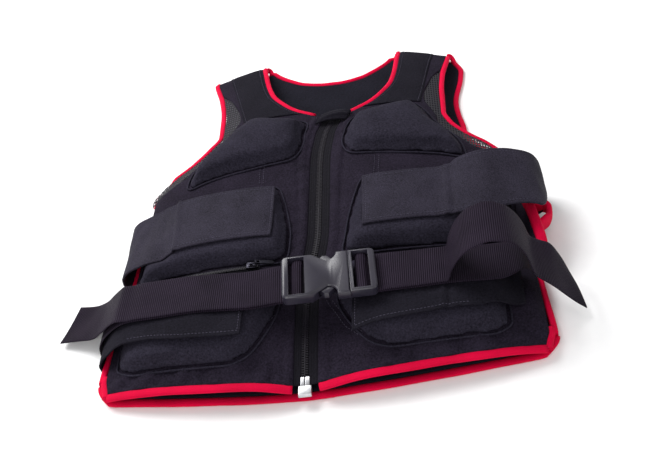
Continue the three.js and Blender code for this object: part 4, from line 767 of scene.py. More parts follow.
# %% Binding along an edge
def bind(name, edge, up, turn, width, thickness=5.0):
    """A bar just outside the edge. turn is 1 or -1 for the free side, up is the cloth's upward direction."""
    edge, up = np.asarray(edge, float), np.asarray(up, float)
    along = np.gradient(edge, axis=0)
    along /= np.linalg.norm(along, axis=1, keepdims=True)
    out = np.cross(along, up) * turn
    out /= np.linalg.norm(out, axis=1, keepdims=True)
    run = np.concatenate([[0], np.linalg.norm(np.diff(edge, axis=0), axis=1).cumsum()])
    angle = np.linspace(0, 2 * np.pi, 16, endpoint=False)
    across = (1 - np.cos(angle)) / 2
    height = np.sign(np.sin(angle)) * np.abs(np.sin(angle)) ** 0.55
    full = 0.5 * thickness * (0.78 + 0.22 * np.sin(np.pi * across ** 0.8))
    stitched = 1 - 0.22 * np.exp(-((across - 0.2) / 0.1) ** 2)
    waver = 1 + 0.045 * np.sin(run / 7) + 0.035 * np.sin(run / 3.1 + 1)
    a = SEAT + across[None, :] * width * (1 + 0.02 * np.sin(run / 11))[:, None]
    b = (height * full * stitched)[None, :] * np.minimum(waver, 1.04)[:, None]
    points = edge[:, None] + out[:, None] * a[..., None] + up[:, None] * b[..., None]
    return swept(name, points, crimson, run, across * width * 2)


def swept(name, points, finish, run, around):
    """A closed tube from rings of points, with flat caps."""
    rings, sides = points.shape[:2]
    k, i = np.meshgrid(np.arange(rings - 1), np.arange(sides), indexing="ij")
    a = (k * sides + i).ravel()
    b = (k * sides + (i + 1) % sides).ravel()
    flat = points.reshape(-1, 3)
    ends = np.stack([flat[:sides].mean(0), flat[-sides:].mean(0)])
    flat = np.concatenate([flat, ends])
    start, last = len(flat) - 2, (rings - 1) * sides
    quads = np.stack([a, b, b + sides, a + sides], 1)
    n = np.arange(sides)
    m = (n + 1) % sides
    caps = [(start, q, p, start) for p, q in zip(n, m)]
    caps += [(start + 1, last + p, last + q, start + 1) for p, q in zip(n, m)]
    turned = outward(flat, np.concatenate([quads, caps]))
    faces = [[int(v) for v in dict.fromkeys(face)] for face in turned.tolist()]
    weave = np.stack(np.broadcast_arrays(np.asarray(around)[None, :], run[:, None]), -1).reshape(-1, 2)
    weave = np.concatenate([weave, [[0, run[0]], [0, run[-1]]]])
    mesh = bpy.data.meshes.new(name)
    mesh.from_pydata((flat * MM).tolist(), [], faces)
    mesh.materials.append(finish)
    layer = mesh.attributes.new("weave", "FLOAT_VECTOR", "POINT")
    layer.data.foreach_set("vector", np.column_stack([weave, np.zeros(len(weave))]).ravel())
    mesh.shade_smooth()
    piece = bpy.data.objects.new(name, mesh)
    bpy.context.scene.collection.objects.link(piece)
    return piece


def front_up(side, gx, row):
    def at(x, y):
        return place(side * x, y, front_height(x, y))

    up = np.cross(at(gx + 1.5, row) - at(gx - 1.5, row), at(gx, row + 1.5) - at(gx, row - 1.5))
    up /= np.linalg.norm(up, axis=-1, keepdims=True)
    return up * np.sign(up[..., 2:])


def bind_front(name, side, gx, row, turn, width):
    return bind(name, place(side * gx, row, front_height(gx, row)), front_up(side, gx, row), turn, width)


for name, side in SIDES.items():
    row = rows_between(NECK_BOTTOM + 4, FOLD - 0.2, 4)
    edge = bind_front(f"neck_edge_{name}", side, front_inner(row), row, -side, EDGE_TAPE)
    wear(edge, "binding", f"neck_binding_{name}")
    row = rows_between(0.08 * HALF_LENGTH, FOLD - 0.2, 4)
    tuck = armhole_tuck(name, row)
    outer = front_outer(row / HALF_LENGTH) - EDGE_INSET - 2 * tuck
    edge = place(side * outer, row, front_height(outer, row) - 6 * tuck)
    edge = bind(f"armhole_edge_{name}", edge, front_up(side, outer, row), side, EDGE_TAPE)
    wear(edge, "binding", f"armhole_binding_front_{name}")
    row = HEM + HEM_INSET
    outer = front_outer(row / HALF_LENGTH) - EDGE_INSET
    gx = np.linspace(float(front_inner(np.array(row))), float(outer), 60)
    edge = bind_front(f"hem_edge_{name}", side, gx, row + 0 * gx, side, HEM_TAPE)
    wear(edge, "binding", f"hem_binding_front_{name}")
print("front edges bound")

# %% [markdown]
# The back's edges lie on the surface: the hem runs round both lower corners, the armhole edges climb to the
# shoulder fold, and the neck edge joins them.


# %% Binding of the back and the sides
def bind_back(name, gx, row, z, turn, width):
    return bind(name, place(gx, row, z), np.tile([0.0, 0, 1], (len(gx), 1)), turn, width, 4.8)


share = np.linspace(-1, 1, 121)
gx, row = back_grid(share, HEM + HEM_INSET + 0 * share)
corner = np.linspace(-0.88, -0.955, 8) * HALF_LENGTH
low_right, low_left = -back_edge(-1, corner), back_edge(1, corner[::-1])
gx = np.concatenate([low_right, gx, low_left])
row = np.concatenate([corner, row, corner[::-1]])
wear(bind_back("hem_edge_back", gx, row, 2.5, 1, HEM_TAPE), "binding", "hem_binding_back")
for name, side in SIDES.items():
    low, high = rows_between(0.08 * HALF_LENGTH, BACK_NECK_ROW, 4), np.linspace(BACK_NECK_ROW + 5, BACK_FOLD, 8)
    flat = np.concatenate([low, high])
    gx, row = back_grid(side + 0 * flat, flat)
    edge = bind_back(f"armhole_edge_back_{name}", gx, row, BACK_TAPE_HEIGHT, side, EDGE_TAPE)
    wear(edge, "binding", f"armhole_binding_back_{name}")
share = np.linspace(-BACK_NECK_SHARE, BACK_NECK_SHARE, 61)
gx, row = back_grid(share, BACK_FOLD + 0 * share)
edge = bind_back("neck_edge_back", gx, row, BACK_TAPE_HEIGHT, -1, EDGE_TAPE)
wear(edge, "binding", "neck_binding_back")
print("back edges bound")

# %% [markdown]
# At the shoulder fold each tape carries on from the front over to the back, and at the hem it turns the
# corner and climbs the side. These short lengths close the run, so no tape stops in the open.


# %% Turns of the binding
def shoulder_turn(name, side, front_gx, back, turn):
    start, end = np.array([front_gx, FOLD - 1, 5.7]), np.array(back)
    swing = np.linspace(0, 1, 15)
    line = blend_between(start, end, ease(0, 1, swing)[:, None])
    line[:, 1] = start[1] + (end[1] - start[1]) * swing ** 2 + 3.6 * np.sin(np.pi * swing)
    up = np.stack([0 * swing, np.sin(np.pi * swing), np.cos(np.pi * swing)], 1)
    return bind(name, place(side * line[:, 0], line[:, 1], line[:, 2]), up, turn, 6.3, 4.6)


for name, side in SIDES.items():
    outer = float(front_outer(np.array(FOLD / HALF_LENGTH))) - EDGE_INSET
    gx, row = back_grid(np.array([float(side)]), np.array([BACK_FOLD - 3.0]))
    end = (side * gx[0], row[0], BACK_TAPE_HEIGHT)
    wear(shoulder_turn(f"armhole_turn_{name}", side, outer, end, side), "binding")
    gx, row = back_grid(np.array([side * BACK_NECK_SHARE]), np.array([float(BACK_FOLD)]))
    inner = float(front_inner(np.array(FOLD - 1.0)))
    end = (side * gx[0], row[0] + 1, BACK_TAPE_HEIGHT)
    wear(shoulder_turn(f"neck_turn_{name}", side, inner, end, -side), "binding")
    row = rows_between(-0.985 * HALF_LENGTH, -0.84 * HALF_LENGTH, 3)
    outer = front_outer(row / HALF_LENGTH) - EDGE_INSET
    wear(bind_front(f"corner_edge_{name}", side, outer, row, side, 6.8), "binding")
print("turns bound")

# %% [markdown]
# The side seams are bound together, front and back in one tape, which stands on its edge from the hem
# corner to the armhole.


# %% Side binding
SIDE_TAPE_START, SIDE_TAPE_END = -0.885, {"right": -0.08, "left": 0.078}


def side_binding(name, side):
    row = np.linspace(SIDE_TAPE_START, SIDE_TAPE_END[name], 70) * HALF_LENGTH
    reach = np.maximum(front_outer(row / HALF_LENGTH), back_edge(side, row) + EDGE_INSET) - 5.9
    edge = place(side * reach, row, 5.6)
    along = np.gradient(edge, axis=0)
    along /= np.linalg.norm(along, axis=1, keepdims=True)
    out = np.cross(along, [0, 0, 1.0]) * side
    run = np.concatenate([[0], np.linalg.norm(np.diff(edge, axis=0), axis=1).cumsum()])
    angle = np.linspace(0, 2 * np.pi, 18, endpoint=False)
    a = 3.3 * (1 - np.cos(angle)) * (1 + 0.03 * np.sin(run / 9))[:, None]
    b = 5.1 * np.sign(np.sin(angle)) * np.abs(np.sin(angle)) ** 0.5 * (1 - 0.04 * np.sin(run / 6) ** 2)[:, None]
    b *= 1 - 0.12 * np.exp(-((np.cos(angle) - 0.3) / 0.3) ** 2)
    points = edge[:, None] + out[:, None] * a[..., None] + np.array([0, 0, 1.0]) * b[..., None]
    return swept(f"side_edge_{name}", points, crimson, run, angle * 5)


for name, side in SIDES.items():
    wear(side_binding(name, side), "binding", f"side_binding_{name}")
print("sides bound")

# %% [markdown]
# ## Straps and webbing
#
# A strap is a strip whose path is a short table of stations: how far out it is, how high, how far it has
# slid up or down the vest, how much its upper edge is raised, and how much it leans. The tables were
# measured on the CAD strap. Between stations the path is smooth, so the strap bends like cloth and has no
# corners.

# %% Strap paths
STRAP_ROWS = {
    "upper_strap": (-111.44, -31.44), "lower_strap": (-242.68, -180.68), "webbing": (-216.98, -166.98)}
STRAP_PATHS = {
    "upper_strap_right": [
        (49.2, 58.5, 0, 0, 0), (67.4, 60.2, 0, 0, 0), (85.6, 60.4, 0, 0, 0), (103.8, 59.9, 0, 0, 0),
        (121.9, 58.7, 0, 0, 0), (140.1, 56.8, 0, 0, 0), (158.3, 53.5, 0, 0, 0), (176.5, 47.9, 0, 0, 0),
        (194.7, 40.8, 0, 0, 0), (203.8, 37.1, 0, 0, 0), (214.1, 32.7, 0, 0, 0), (222.1, 25.8, 0, 0, 0),
        (225.6, 18.1, 0, 0, 0), (225.6, 11.1, 0, 0, 0), (223.3, 5.6, 0, 0, 0), (218.2, 1.9, 0, 0, 0)],
    "lower_strap_right": [
        (65.3, 54.8, -4, 0, 0), (78.3, 54.9, -3.8, 0, 0), (91.3, 54.9, -3.2, 0, 0), (104.3, 54.6, -2.2, 0, 0),
        (117.4, 54.1, -0.9, 0, 0), (130.4, 53.4, 0.6, 0, 0), (143.4, 52.3, 3.3, 0, 0), (156.4, 50.7, 6.6, 0, 0),
        (169.5, 48.8, 9.4, 0, 0), (180.9, 47.2, 10.7, 0, 0), (194.7, 44.4, 12.1, 0, 0), (206.1, 38.7, 13.1, 0, 0),
        (216.4, 29.7, 13.7, 0, 0), (225.6, 20.6, 14, 0, 0), (230.6, 11.8, 14, 0, 0), (229.5, 1.7, 14, 0, 0)],
    "waist_webbing_right": [
        (3.2, 61, 0, 0, -3.2), (14.6, 60.7, 0, 0, -3.2), (21.7, 60.4, 0, 0, -3.2), (30.5, 60, 0, 0, -3.2),
        (47.8, 58.3, 0, 0, -3.2), (65.2, 57.3, 0.7, 0, -3.2), (82.6, 57.3, 2.1, 0, -2.1), (100, 57.1, 3.8, 0, -0.1),
        (117.3, 56.6, 5.2, 0, 0), (134.7, 55.5, 6.5, 0, 0), (152.1, 53.7, 7.8, 0, 0), (169.5, 51.8, 9, 0, 0),
        (183.2, 50.5, 10, 0, 0), (198.1, 47.4, 11.2, 0, 0), (209.5, 41.5, 12.2, 0, 0), (220.3, 32.8, 12.8, 0, 0),
        (229.9, 22.6, 13, 0, 0), (235, 12.3, 13, 0, 0), (236.3, 2.1, 13, 0, 0)],
    "webbing_tail_right": [
        (-0.7, 62.9, 0, 0, -3.2), (0.3, 67, 0, 0, -3.2), (2.1, 68, 0, 0, -3.2), (8.1, 68, 0, 0, -3.2),
        (10.3, 66.8, 0, 0, -3.2), (13.5, 62.6, 0, 0, -3.2), (21.7, 62.3, 0, 0, -3.2), (30.5, 62.4, 0, 0, -3.2),
        (47.8, 60.7, 0, 0, -3.2), (65.2, 59.7, 0.7, 0, -3.2), (82.6, 59.7, 2.1, 0, -2.1), (100, 59.5, 3.8, 0, -0.1),
        (117.3, 59, 5.2, 0, 0), (134.7, 57.9, 6.5, 0, 0), (152.1, 56.1, 7.8, 0, 0), (169.5, 54.2, 9, 0, 0),
        (183.2, 52.9, 10, 0, 0), (195.8, 50.3, 11, 0, 0), (205.5, 49.6, 12, 0, 1), (216, 42.3, 15, 0, 3),
        (226.6, 32.1, 18, 1, 4), (240.3, 18.6, 23, 1, 6), (256.5, 10.6, 29, 0, 9), (276.8, 6, 34, -2, 12)],
    "upper_strap_left": [
        (49.2, 58.5, 0, 0, 0), (60.3, 59.9, 0, 0, 0), (71.3, 60.3, 0, 0, 0), (82.3, 60.3, 0, 0, 0),
        (93.3, 60.2, 0, 0, 0), (104.3, 59.9, 0, 0, 0), (115.4, 59.2, 0, 0, 0), (126.4, 58.3, 0, 0, 0),
        (137.4, 59.5, 0, 0, 0), (151.1, 63.8, 0, 8.4, 0), (164.9, 67.1, 0, 11.9, 0), (180.9, 68.2, 0, 14, 0),
        (199.2, 67.7, 0, 11.2, 0), (215.3, 64.9, 0, 7, 0), (227.9, 59.3, 0, 4.2, 0), (237, 46, 0, 2.1, 0),
        (240.5, 29.7, 0, 0, 0), (238.2, 14.8, 0, 0, 0), (218.2, 1.9, 0, 0, 0)],
    "lower_strap_left": [
        (45.8, 51.8, -14, 0, 0), (61.3, 54.2, -9.3, 0, 0), (76.7, 54.8, -5.9, 0, 0), (92.2, 54.8, -4.5, 0, 0),
        (107.6, 54.4, -3, 0, 0), (123.1, 53.8, -0.6, 0, 0), (138.5, 52.8, 1.6, 0, 0), (154, 51.1, 2, 0, 0),
        (169.5, 48.9, 2, 0, 0), (180.9, 47.2, 2, 0, 0), (194.7, 44.4, 4.9, 0, 0), (206.1, 38.7, 11.4, 0, 0),
        (216.4, 29.7, 19.9, 0, 0), (225.6, 20.6, 20, 0, 0), (230.6, 11.8, 20, 0, 0), (229.2, 1.7, 20, 0, 0)],
    "waist_webbing_left": [
        (52.7, 61, 0.1, 0, 3.3), (62.4, 60.7, 0.5, 0, 3.3), (68.4, 60.4, 0.9, 0, 3.3), (75.8, 60, 1.5, 0, 2.9),
        (87.5, 58.9, 2.6, 0, 1.4), (99.2, 57.8, 3.7, 0, 0.1), (110.9, 56.9, 4.7, 0, 0), (122.6, 56.3, 5.6, 0, 0),
        (134.3, 55.5, 6.5, 0, 0), (146, 54.4, 7.3, 0, 0), (157.7, 53, 8.2, 0, 0), (169.5, 51.7, 9, 0, 0),
        (183.2, 50.6, 10, 0, 0), (198.1, 47.5, 11.2, 0, 0), (209.5, 41.6, 12.2, 0, 0), (220.3, 32.9, 12.8, 0, 0),
        (229.9, 22.6, 13, 0, 0), (235, 12.3, 13, 0, 0), (236.3, 2.1, 13, 0, 0)],
    "webbing_tail_left": [
        (49.4, 62.9, 0, 0, 3.3), (50.3, 67, 0, 0, 3.3), (51.8, 68, 0.1, 0, 3.3), (56.8, 68, 0.2, 0, 3.3),
        (58.7, 66.8, 0.3, 0, 3.3), (61.5, 62.6, 0.5, 0, 3.3), (68.4, 62.3, 0.9, 0, 3.3), (75.8, 62.4, 1.5, 0, 2.9),
        (87.5, 61.3, 2.6, 0, 1.4), (99.2, 60.2, 3.7, 0, 0.1), (110.9, 59.3, 4.7, 0, 0), (122.6, 58.7, 5.6, 0, 0),
        (132.1, 58.1, 6.3, 0, 0), (136.1, 72.9, 6, 2, 0), (143.2, 90.9, 5, 4, 0), (155, 104.7, 4, 6, 0),
        (171.6, 111.1, 3, 6, 0), (185.1, 107.4, 2, 4, 0), (196.9, 95.7, 2, 2, 0), (204.8, 79.3, 2, 4, 0),
        (211.1, 60.2, 2, 6, 0), (220.6, 51.1, 2, 12, 1), (231.3, 42.4, 1, 18, 3), (243, 27.3, -1, 12, 8),
        (254.1, 12.2, -4, 5, 12)],
}
print("straps with a path:", len(STRAP_PATHS))

# %% [markdown]
# `strap_grid` reads a path and returns the strap's middle surface, one row of points for each step along
# the strap and one column for each step across it. Two strips on the wearer's left end under other cloth.
# `STRAP_REACH` says where they stop, and `STRAP_DIVE` from where, to where and how far they sink.
# `STRAP_NARROW` says the same for the hem edge of three strips, which draws in.


# %% Laying a strap
STRAP_STEP = 3.0
STRAP_REACH = {"lower_strap_left": 160, "waist_webbing_left": 168}
STRAP_DIVE = {"lower_strap_left": (126, 154, 15), "waist_webbing_left": (150, 168, 8)}
STRAP_NARROW = {
    "upper_strap_left": (182, 216, 38), "lower_strap_left": (108, 156, 13),
    "waist_webbing_left": (128, 164, 18)}


def strap_grid(name, across=20):
    kind = "webbing" if "webbing" in name else name.rsplit("_", 1)[0]
    low, high = STRAP_ROWS[kind]
    side = SIDES[name.rsplit("_", 1)[1]]
    table = np.array(STRAP_PATHS[name], float)
    run = np.concatenate([[0], np.linalg.norm(np.diff(table[:, :3], axis=0), axis=1).cumsum()])
    reach = STRAP_REACH.get(name, run[-1])
    at = np.linspace(0, reach, int(reach / STRAP_STEP))
    gx, z, shift, tilt, lean = (curve_through(*zip(run, column))(at)[:, None] for column in table.T)
    v = np.linspace(0, 1, across + 1)[None, :]
    dive, narrow = STRAP_DIVE.get(name, (0, 1, 0)), STRAP_NARROW.get(name, (0, 1, 0))
    z = z - dive[2] * ease(dive[0], dive[1], at)[:, None]
    drawn_in = narrow[2] * ease(narrow[0], narrow[1], at)[:, None] * (1 - v) ** 0.8
    row = blend_between(low, high, v) + shift + drawn_in
    return side * (gx + (0.5 - v) * lean), row, z + (v - 0.5) * tilt


def strap_middle(name, relief, across):
    middle = place(*strap_grid(name, across))
    run = np.linalg.norm(np.diff(middle, axis=0), axis=2).mean(1).cumsum()
    run = np.concatenate([[0], run])[:, None]
    v = np.linspace(0, 1, middle.shape[1])[None, :]
    side = SIDES[name.rsplit("_", 1)[1]]
    return middle + surface_normals(middle) * side * relief(run, v)[..., None]


gx, row, z = strap_grid("webbing_tail_left")
print("left webbing stands", round(float(z.max()), 1), "mm high at its arch")

# %% [markdown]
# Upper and lower straps are hook-and-loop flaps: a soft face turned in at the edges and stitched. The
# turned edge is a little thicker, so each strap gets a low ridge along its rim and a stitch groove inside
# it.


# %% Side straps
def turned_edge(width, seam, bulge=0.0):
    """Relief of a flap: a ridge at its turned rim, a stitched groove inside it, and a seam across its join."""
    def relief(run, v):
        inward = np.minimum(np.minimum(v, 1 - v) * width, run)
        ridge = 0.35 * ease(5.5, 3.2, inward) * ease(0, 1.2, inward)
        groove = -0.25 * np.exp(-((inward - 4.4) / 0.7) ** 2)
        across = run - seam - 3 * (v - 0.5)
        join = -2.2 * np.exp(-(across / 1.7) ** 2) + 1.3 * np.exp(-((across - 5) / 3.6) ** 2)
        soft = 0.55 * np.sin(run / 13 + 2 * v) * np.sin(np.pi * v) * ease(8, 40, run)
        soft = soft + 0.3 * np.sin(run / 5.1 + 4 * np.sin(3 * v + run / 40)) * ease(4, 12, inward)
        puffed = ease(seam + 2, seam + 20, run) * ease(seam + 85, seam + 50, run)
        puffed = puffed * (0.6 + 0.4 * np.sin(np.pi * v))
        lifted = np.exp(-((run - seam - 17) / 13) ** 2) * ease(0.4, 0, v)
        return ridge + groove + join + soft + bulge * (puffed + 1.2 * lifted)
    return relief


strap_sheets = {}


def strap(name, thickness, finish, slot, relief, across=20):
    middle = strap_middle(name, relief, across)
    piece = wear(cloth_sheet(name + "_cloth", middle, thickness, finish), slot, name)
    strap_sheets[name] = piece
    print(piece.name, "flat", [round(v, 3) for v in flat_size(middle)], "m")
    return piece


UPPER_SEAM = {"right": 107, "left": 92}
UPPER_BULGE = {"right": 3.6, "left": 0.0}
BEYOND_THE_END = 400
LOWER_SEAM = {"right": BEYOND_THE_END, "left": 92}
UPPER_WIDTH, LOWER_WIDTH = 80, 62
for name in SIDES:
    relief = turned_edge(UPPER_WIDTH, UPPER_SEAM[name], UPPER_BULGE[name])
    strap(f"upper_strap_{name}", 2.4, smooth_cloth, "smooth_cloth", relief, 40)
    relief = turned_edge(LOWER_WIDTH, LOWER_SEAM[name])
    strap(f"lower_strap_{name}", 2.0, patch_cloth, "smooth_cloth", relief, 32)

# %% [markdown]
# The waist webbing is one layer sewn to the vest and one loose layer that comes back through the buckle.
# Both have firm woven edges, a touch thicker than the body of the weave. Towards its tip the loose layer
# crumples.


# %% Waist webbing
WEBBING_WIDTH = 50


def woven_edge(run, v):
    edge = np.minimum(v, 1 - v) * WEBBING_WIDTH
    crumple = 1.3 * np.sin(run / 11 + 3 * v) * ease(228, 262, run) + 0.35 * np.sin(run / 19 + 2.4 * v)
    return 0.12 * ease(2.6, 1.4, edge) + crumple


for name in SIDES:
    strap(f"waist_webbing_{name}", 1.3, ribbed_webbing, "webbing", woven_edge)
    strap(f"webbing_tail_{name}", 1.3, ribbed_webbing, "webbing", woven_edge)

# %% [markdown]
# ## Weight pads
#
# Each pad is a cloth pocket pulled over a stack of iron-filled packs. Its outline is a short list of
# corners, rounded off, and its crown rises steeply from the seam to a nearly flat top.

# %% Pad outlines
PAD_FLOOR = 1.2
LEFT_WAIST_PAD_CUT = 22
PAD_HEIGHTS = {"chest_pad": 17, "rib_pad": 15, "waist_pad": 16}
PAD_CORNERS = {
    "chest_pad": [
        (0.12, 0.37), (0.105, 0.2), (0.145, 0.122), (0.4, 0.085), (0.6, 0.06), (0.715, 0.034), (0.69, 0.15),
        (0.575, 0.28), (0.515, 0.36), (0.447, 0.43), (0.37, 0.42), (0.24, 0.385)],
    "rib_pad": [
        (0.21, -0.045), (0.17, -0.17), (0.14, -0.3), (0.13, -0.462), (0.89, -0.462), (0.885, -0.12), (0.84, -0.045)],
    "waist_pad": [
        (0.13, -0.497), (0.135, -0.69), (0.2, -0.79), (0.26, -0.86), (0.34, -0.895), (0.5, -0.895), (0.83, -0.895),
        (0.9, -0.85), (0.9, -0.497)],
}


def rounded_outline(kind, side, radius=13.0, step=2.5):
    """The outline's points, evenly spaced, each corner a short curve."""
    corners = np.array(PAD_CORNERS[kind]) * (HALF_BODY, HALF_LENGTH)
    before, after = np.roll(corners, 1, 0), np.roll(corners, -1, 0)
    gap_before = np.linalg.norm(before - corners, axis=1)
    gap_after = np.linalg.norm(after - corners, axis=1)
    reach = np.minimum(radius, 0.42 * np.minimum(gap_before, gap_after))[:, None]
    start = corners + (before - corners) / gap_before[:, None] * reach
    end = corners + (after - corners) / gap_after[:, None] * reach
    t = np.linspace(0, 1, 7)[None, :, None]
    bends = (1 - t) ** 2 * start[:, None] + 2 * t * (1 - t) * corners[:, None] + t ** 2 * end[:, None]
    line = bends.reshape(-1, 2)
    line = np.concatenate([line, line[:1]])
    run = np.concatenate([[0], np.linalg.norm(np.diff(line, axis=0), axis=1).cumsum()])
    at = np.linspace(0, run[-1], int(run[-1] / step), endpoint=False)
    outline = np.stack([np.interp(at, run, line[:, k]) for k in (0, 1)], 1)
    if kind == "waist_pad" and side > 0:
        outline[:, 0] -= LEFT_WAIST_PAD_CUT * ease(0.45, 1, outline[:, 0] / HALF_BODY)
    return outline * (side, 1)


print("chest pad outline has", len(rounded_outline("chest_pad", 1)), "points")

# %% [markdown]
# The pad starts as a slightly lean, closed form: rings of its outline shrink towards its middle and rise
# with the crown, and the same rings lie on the front cloth below. It is remeshed to even squares, since
# cloth simulates best on even squares.


# %% The pad before it is stuffed
def lean_pad(kind, side):
    outline = rounded_outline(kind, side)
    middle = outline.mean(0)
    rings = np.array([1, 0.98, 0.955, 0.925, 0.89, 0.85, 0.8, 0.74, 0.66, 0.56, 0.42, 0.28, 0.14, 0.03])
    flat = middle + (outline - middle) * rings[:, None, None]
    inward = np.linalg.norm(flat[:, :, None] - outline[None, None], axis=3).min(2)
    crown = 0.7 * ease(2, 13, inward) + 0.3 * ease(6, 36, inward)
    floor = front_top(flat[..., 0], flat[..., 1]) + PAD_FLOOR
    top = place(flat[..., 0], flat[..., 1], floor + 0.8 + (PAD_HEIGHTS[kind] - 3.2) * crown)
    low = place(flat[..., 0], flat[..., 1], floor - 3.5)
    count, around = top.shape[:2]
    points = np.concatenate([top.reshape(-1, 3), low.reshape(-1, 3), top[-1:].mean(1), low[-1:].mean(1)])
    k, i = np.meshgrid(np.arange(count - 1), np.arange(around), indexing="ij")
    a, b = (k * around + i).ravel(), (k * around + (i + 1) % around).ravel()
    n, m = np.arange(around), (np.arange(around) + 1) % around
    under = count * around
    last = (count - 1) * around
    faces = np.concatenate([
        np.stack([a, b, b + around, a + around], 1), np.stack([b, a, a + around, b + around], 1) + under,
        np.stack([m, n, n + under, m + under], 1)])
    fans = [(last + p, last + q, 2 * under) for p, q in zip(n, m)]
    fans += [(under + last + q, under + last + p, 2 * under + 1) for p, q in zip(n, m)]
    mesh = bpy.data.meshes.new("lean_pad")
    mesh.from_pydata((points * MM).tolist(), [], faces.tolist() + fans)
    pad = bpy.data.objects.new("lean_pad", mesh)
    bpy.context.scene.collection.objects.link(pad)
    work = bmesh.new()
    work.from_mesh(mesh)
    bmesh.ops.recalc_face_normals(work, faces=work.faces)
    work.to_mesh(mesh)
    work.free()
    return pad


def settled(piece):
    """The piece's mesh with its modifiers worked in, as plain data."""
    view = bpy.context.evaluated_depsgraph_get()
    mesh = bpy.data.meshes.new_from_object(piece.evaluated_get(view))
    piece.modifiers.clear()
    old, piece.data = piece.data, mesh
    bpy.data.meshes.remove(old)
    return piece


def points_of(piece):
    co = np.empty(len(piece.data.vertices) * 3)
    piece.data.vertices.foreach_get("co", co)
    return co.reshape(-1, 3) / MM


def move_points(piece, points):
    piece.data.vertices.foreach_set("co", (points * MM).ravel())
    piece.data.update()


print("pads are stuffed next")

# %% [markdown]
# Stuffing is a cloth simulation with pressure inside and gravity off. Twenty frames are enough for the
# crown to round out and the sides to belly over the seam. How far a point may travel is capped, so the pad
# keeps its size.

# %% Stuffing
PAD_SWELL_CAP = 5.0
PAD_SIDE_CAP = 1.2
STUFFING_FRAMES = 20


def stuff(pad):
    remesh = pad.modifiers.new("even_squares", "REMESH")
    remesh.mode = "VOXEL"
    remesh.voxel_size = 0.0032
    settled(pad)
    lean = points_of(pad)
    cloth = pad.modifiers.new("stuffing", "CLOTH")
    cloth.settings.use_pressure = True
    cloth.settings.uniform_pressure_force = 4
    cloth.settings.effector_weights.gravity = 0
    for number in range(1, STUFFING_FRAMES + 1):
        bpy.context.scene.frame_set(number)
    settled(pad)
    bpy.context.scene.frame_set(1)
    moved = points_of(pad) - lean
    travel = np.linalg.norm(moved, axis=1, keepdims=True)
    moved *= np.minimum(1, PAD_SWELL_CAP / np.maximum(travel, 1e-6))
    sideways = np.linalg.norm(moved[:, :2], axis=1, keepdims=True)
    moved[:, :2] *= np.minimum(1, PAD_SIDE_CAP / np.maximum(sideways, 1e-6))
    print("  swelled by up to", round(float(travel.max()), 1), "mm, capped at", PAD_SWELL_CAP)
    return lean + moved


print("cap", PAD_SWELL_CAP, "mm")

# %% [markdown]
# The straps press the pads in. A ray goes straight up from each point of a pad. Where it meets a strap, the
# point stays just under it, and near the strap's edge it may rise only gradually, so the pad bulges out
# between straps.

# %% Pads under straps
CLEAR = 0.5
EDGE_REACHES, EDGE_SLOPE = (0, 2.5, 5, 8), 0.75


def strap_cover(names):
    points, faces = [], []
    for name in names:
        mesh = strap_sheets[name].data
        start = len(points)
        points += [v.co.copy() for v in mesh.vertices]
        faces += [[v + start for v in face.vertices] for face in mesh.polygons]
    return BVHTree.FromPolygons(points, faces)


cover = strap_cover(strap_sheets)


def press_under(points):
    """Lowers each point that would touch a strap, and eases the step beside the strap's edge."""
    limit = np.full(len(points), 1e3)
    for reach in EDGE_REACHES:
        for angle in np.arange(0, 2 * np.pi, np.pi / 4) if reach else [0]:
            offset = np.array([np.cos(angle), np.sin(angle)]) * reach
            for index, (x, y, _) in enumerate(points):
                start = Vector(((x + offset[0]) * MM, (y + offset[1]) * MM, 0.02))
                hit = cover.ray_cast(start, Vector((0, 0, 1)))
                if hit[0] is not None:
                    limit[index] = min(limit[index], hit[0].z / MM - CLEAR + EDGE_SLOPE * reach)
    return np.minimum(points[:, 2], limit)


def make_pad(kind, name, side):
    pad = lean_pad(kind, side)
    points = stuff(pad)
    gx, row = unplace(points[:, 0], points[:, 1])
    floor = front_top(gx, row) + 0.9
    middle = rounded_outline(kind, side).mean(0)
    pucker = 0.25 * np.sin(np.arctan2(row - middle[1], gx - middle[0]) * 46) * ease(9, 3, points[:, 2] - floor)
    points[:, 2] = np.maximum(points[:, 2] + pucker, floor)
    points[:, 2] = np.maximum(press_under(points), floor)
    move_points(pad, points)
    smoother = pad.modifiers.new("eased", "SMOOTH")
    smoother.factor, smoother.iterations = 0.5, 3
    settled(pad)
    points = points_of(pad)
    points[:, 2] = np.maximum(press_under(points), floor)
    move_points(pad, points)
    pad.name = pad.data.name = f"{kind}_{name}_cloth"
    pad.data.materials.clear()
    pad.data.materials.append(pad_cloth)
    pad.data.shade_smooth()
    finer = pad.modifiers.new("finer", "SUBSURF")
    finer.levels = finer.render_levels = 1
    wear(pad, "pad_cloth", f"{kind}_{name}")
    print(pad.name, len(pad.data.vertices), "points")
    return pad


for kind in PAD_CORNERS:
    for name, side in SIDES.items():
        make_pad(kind, name, side)

# %% [markdown]
# ## Geometry Nodes for what follows a line
#
# Piping, stitches and zip teeth repeat along a path, which Geometry Nodes do well. `Recipe` builds one
# tree. It has named inputs, and its `node` method sets a node's options first, then its sockets. `follow`
# puts the tree on a plain line of points, sets the inputs by their identifiers, and keeps the finished
# mesh.


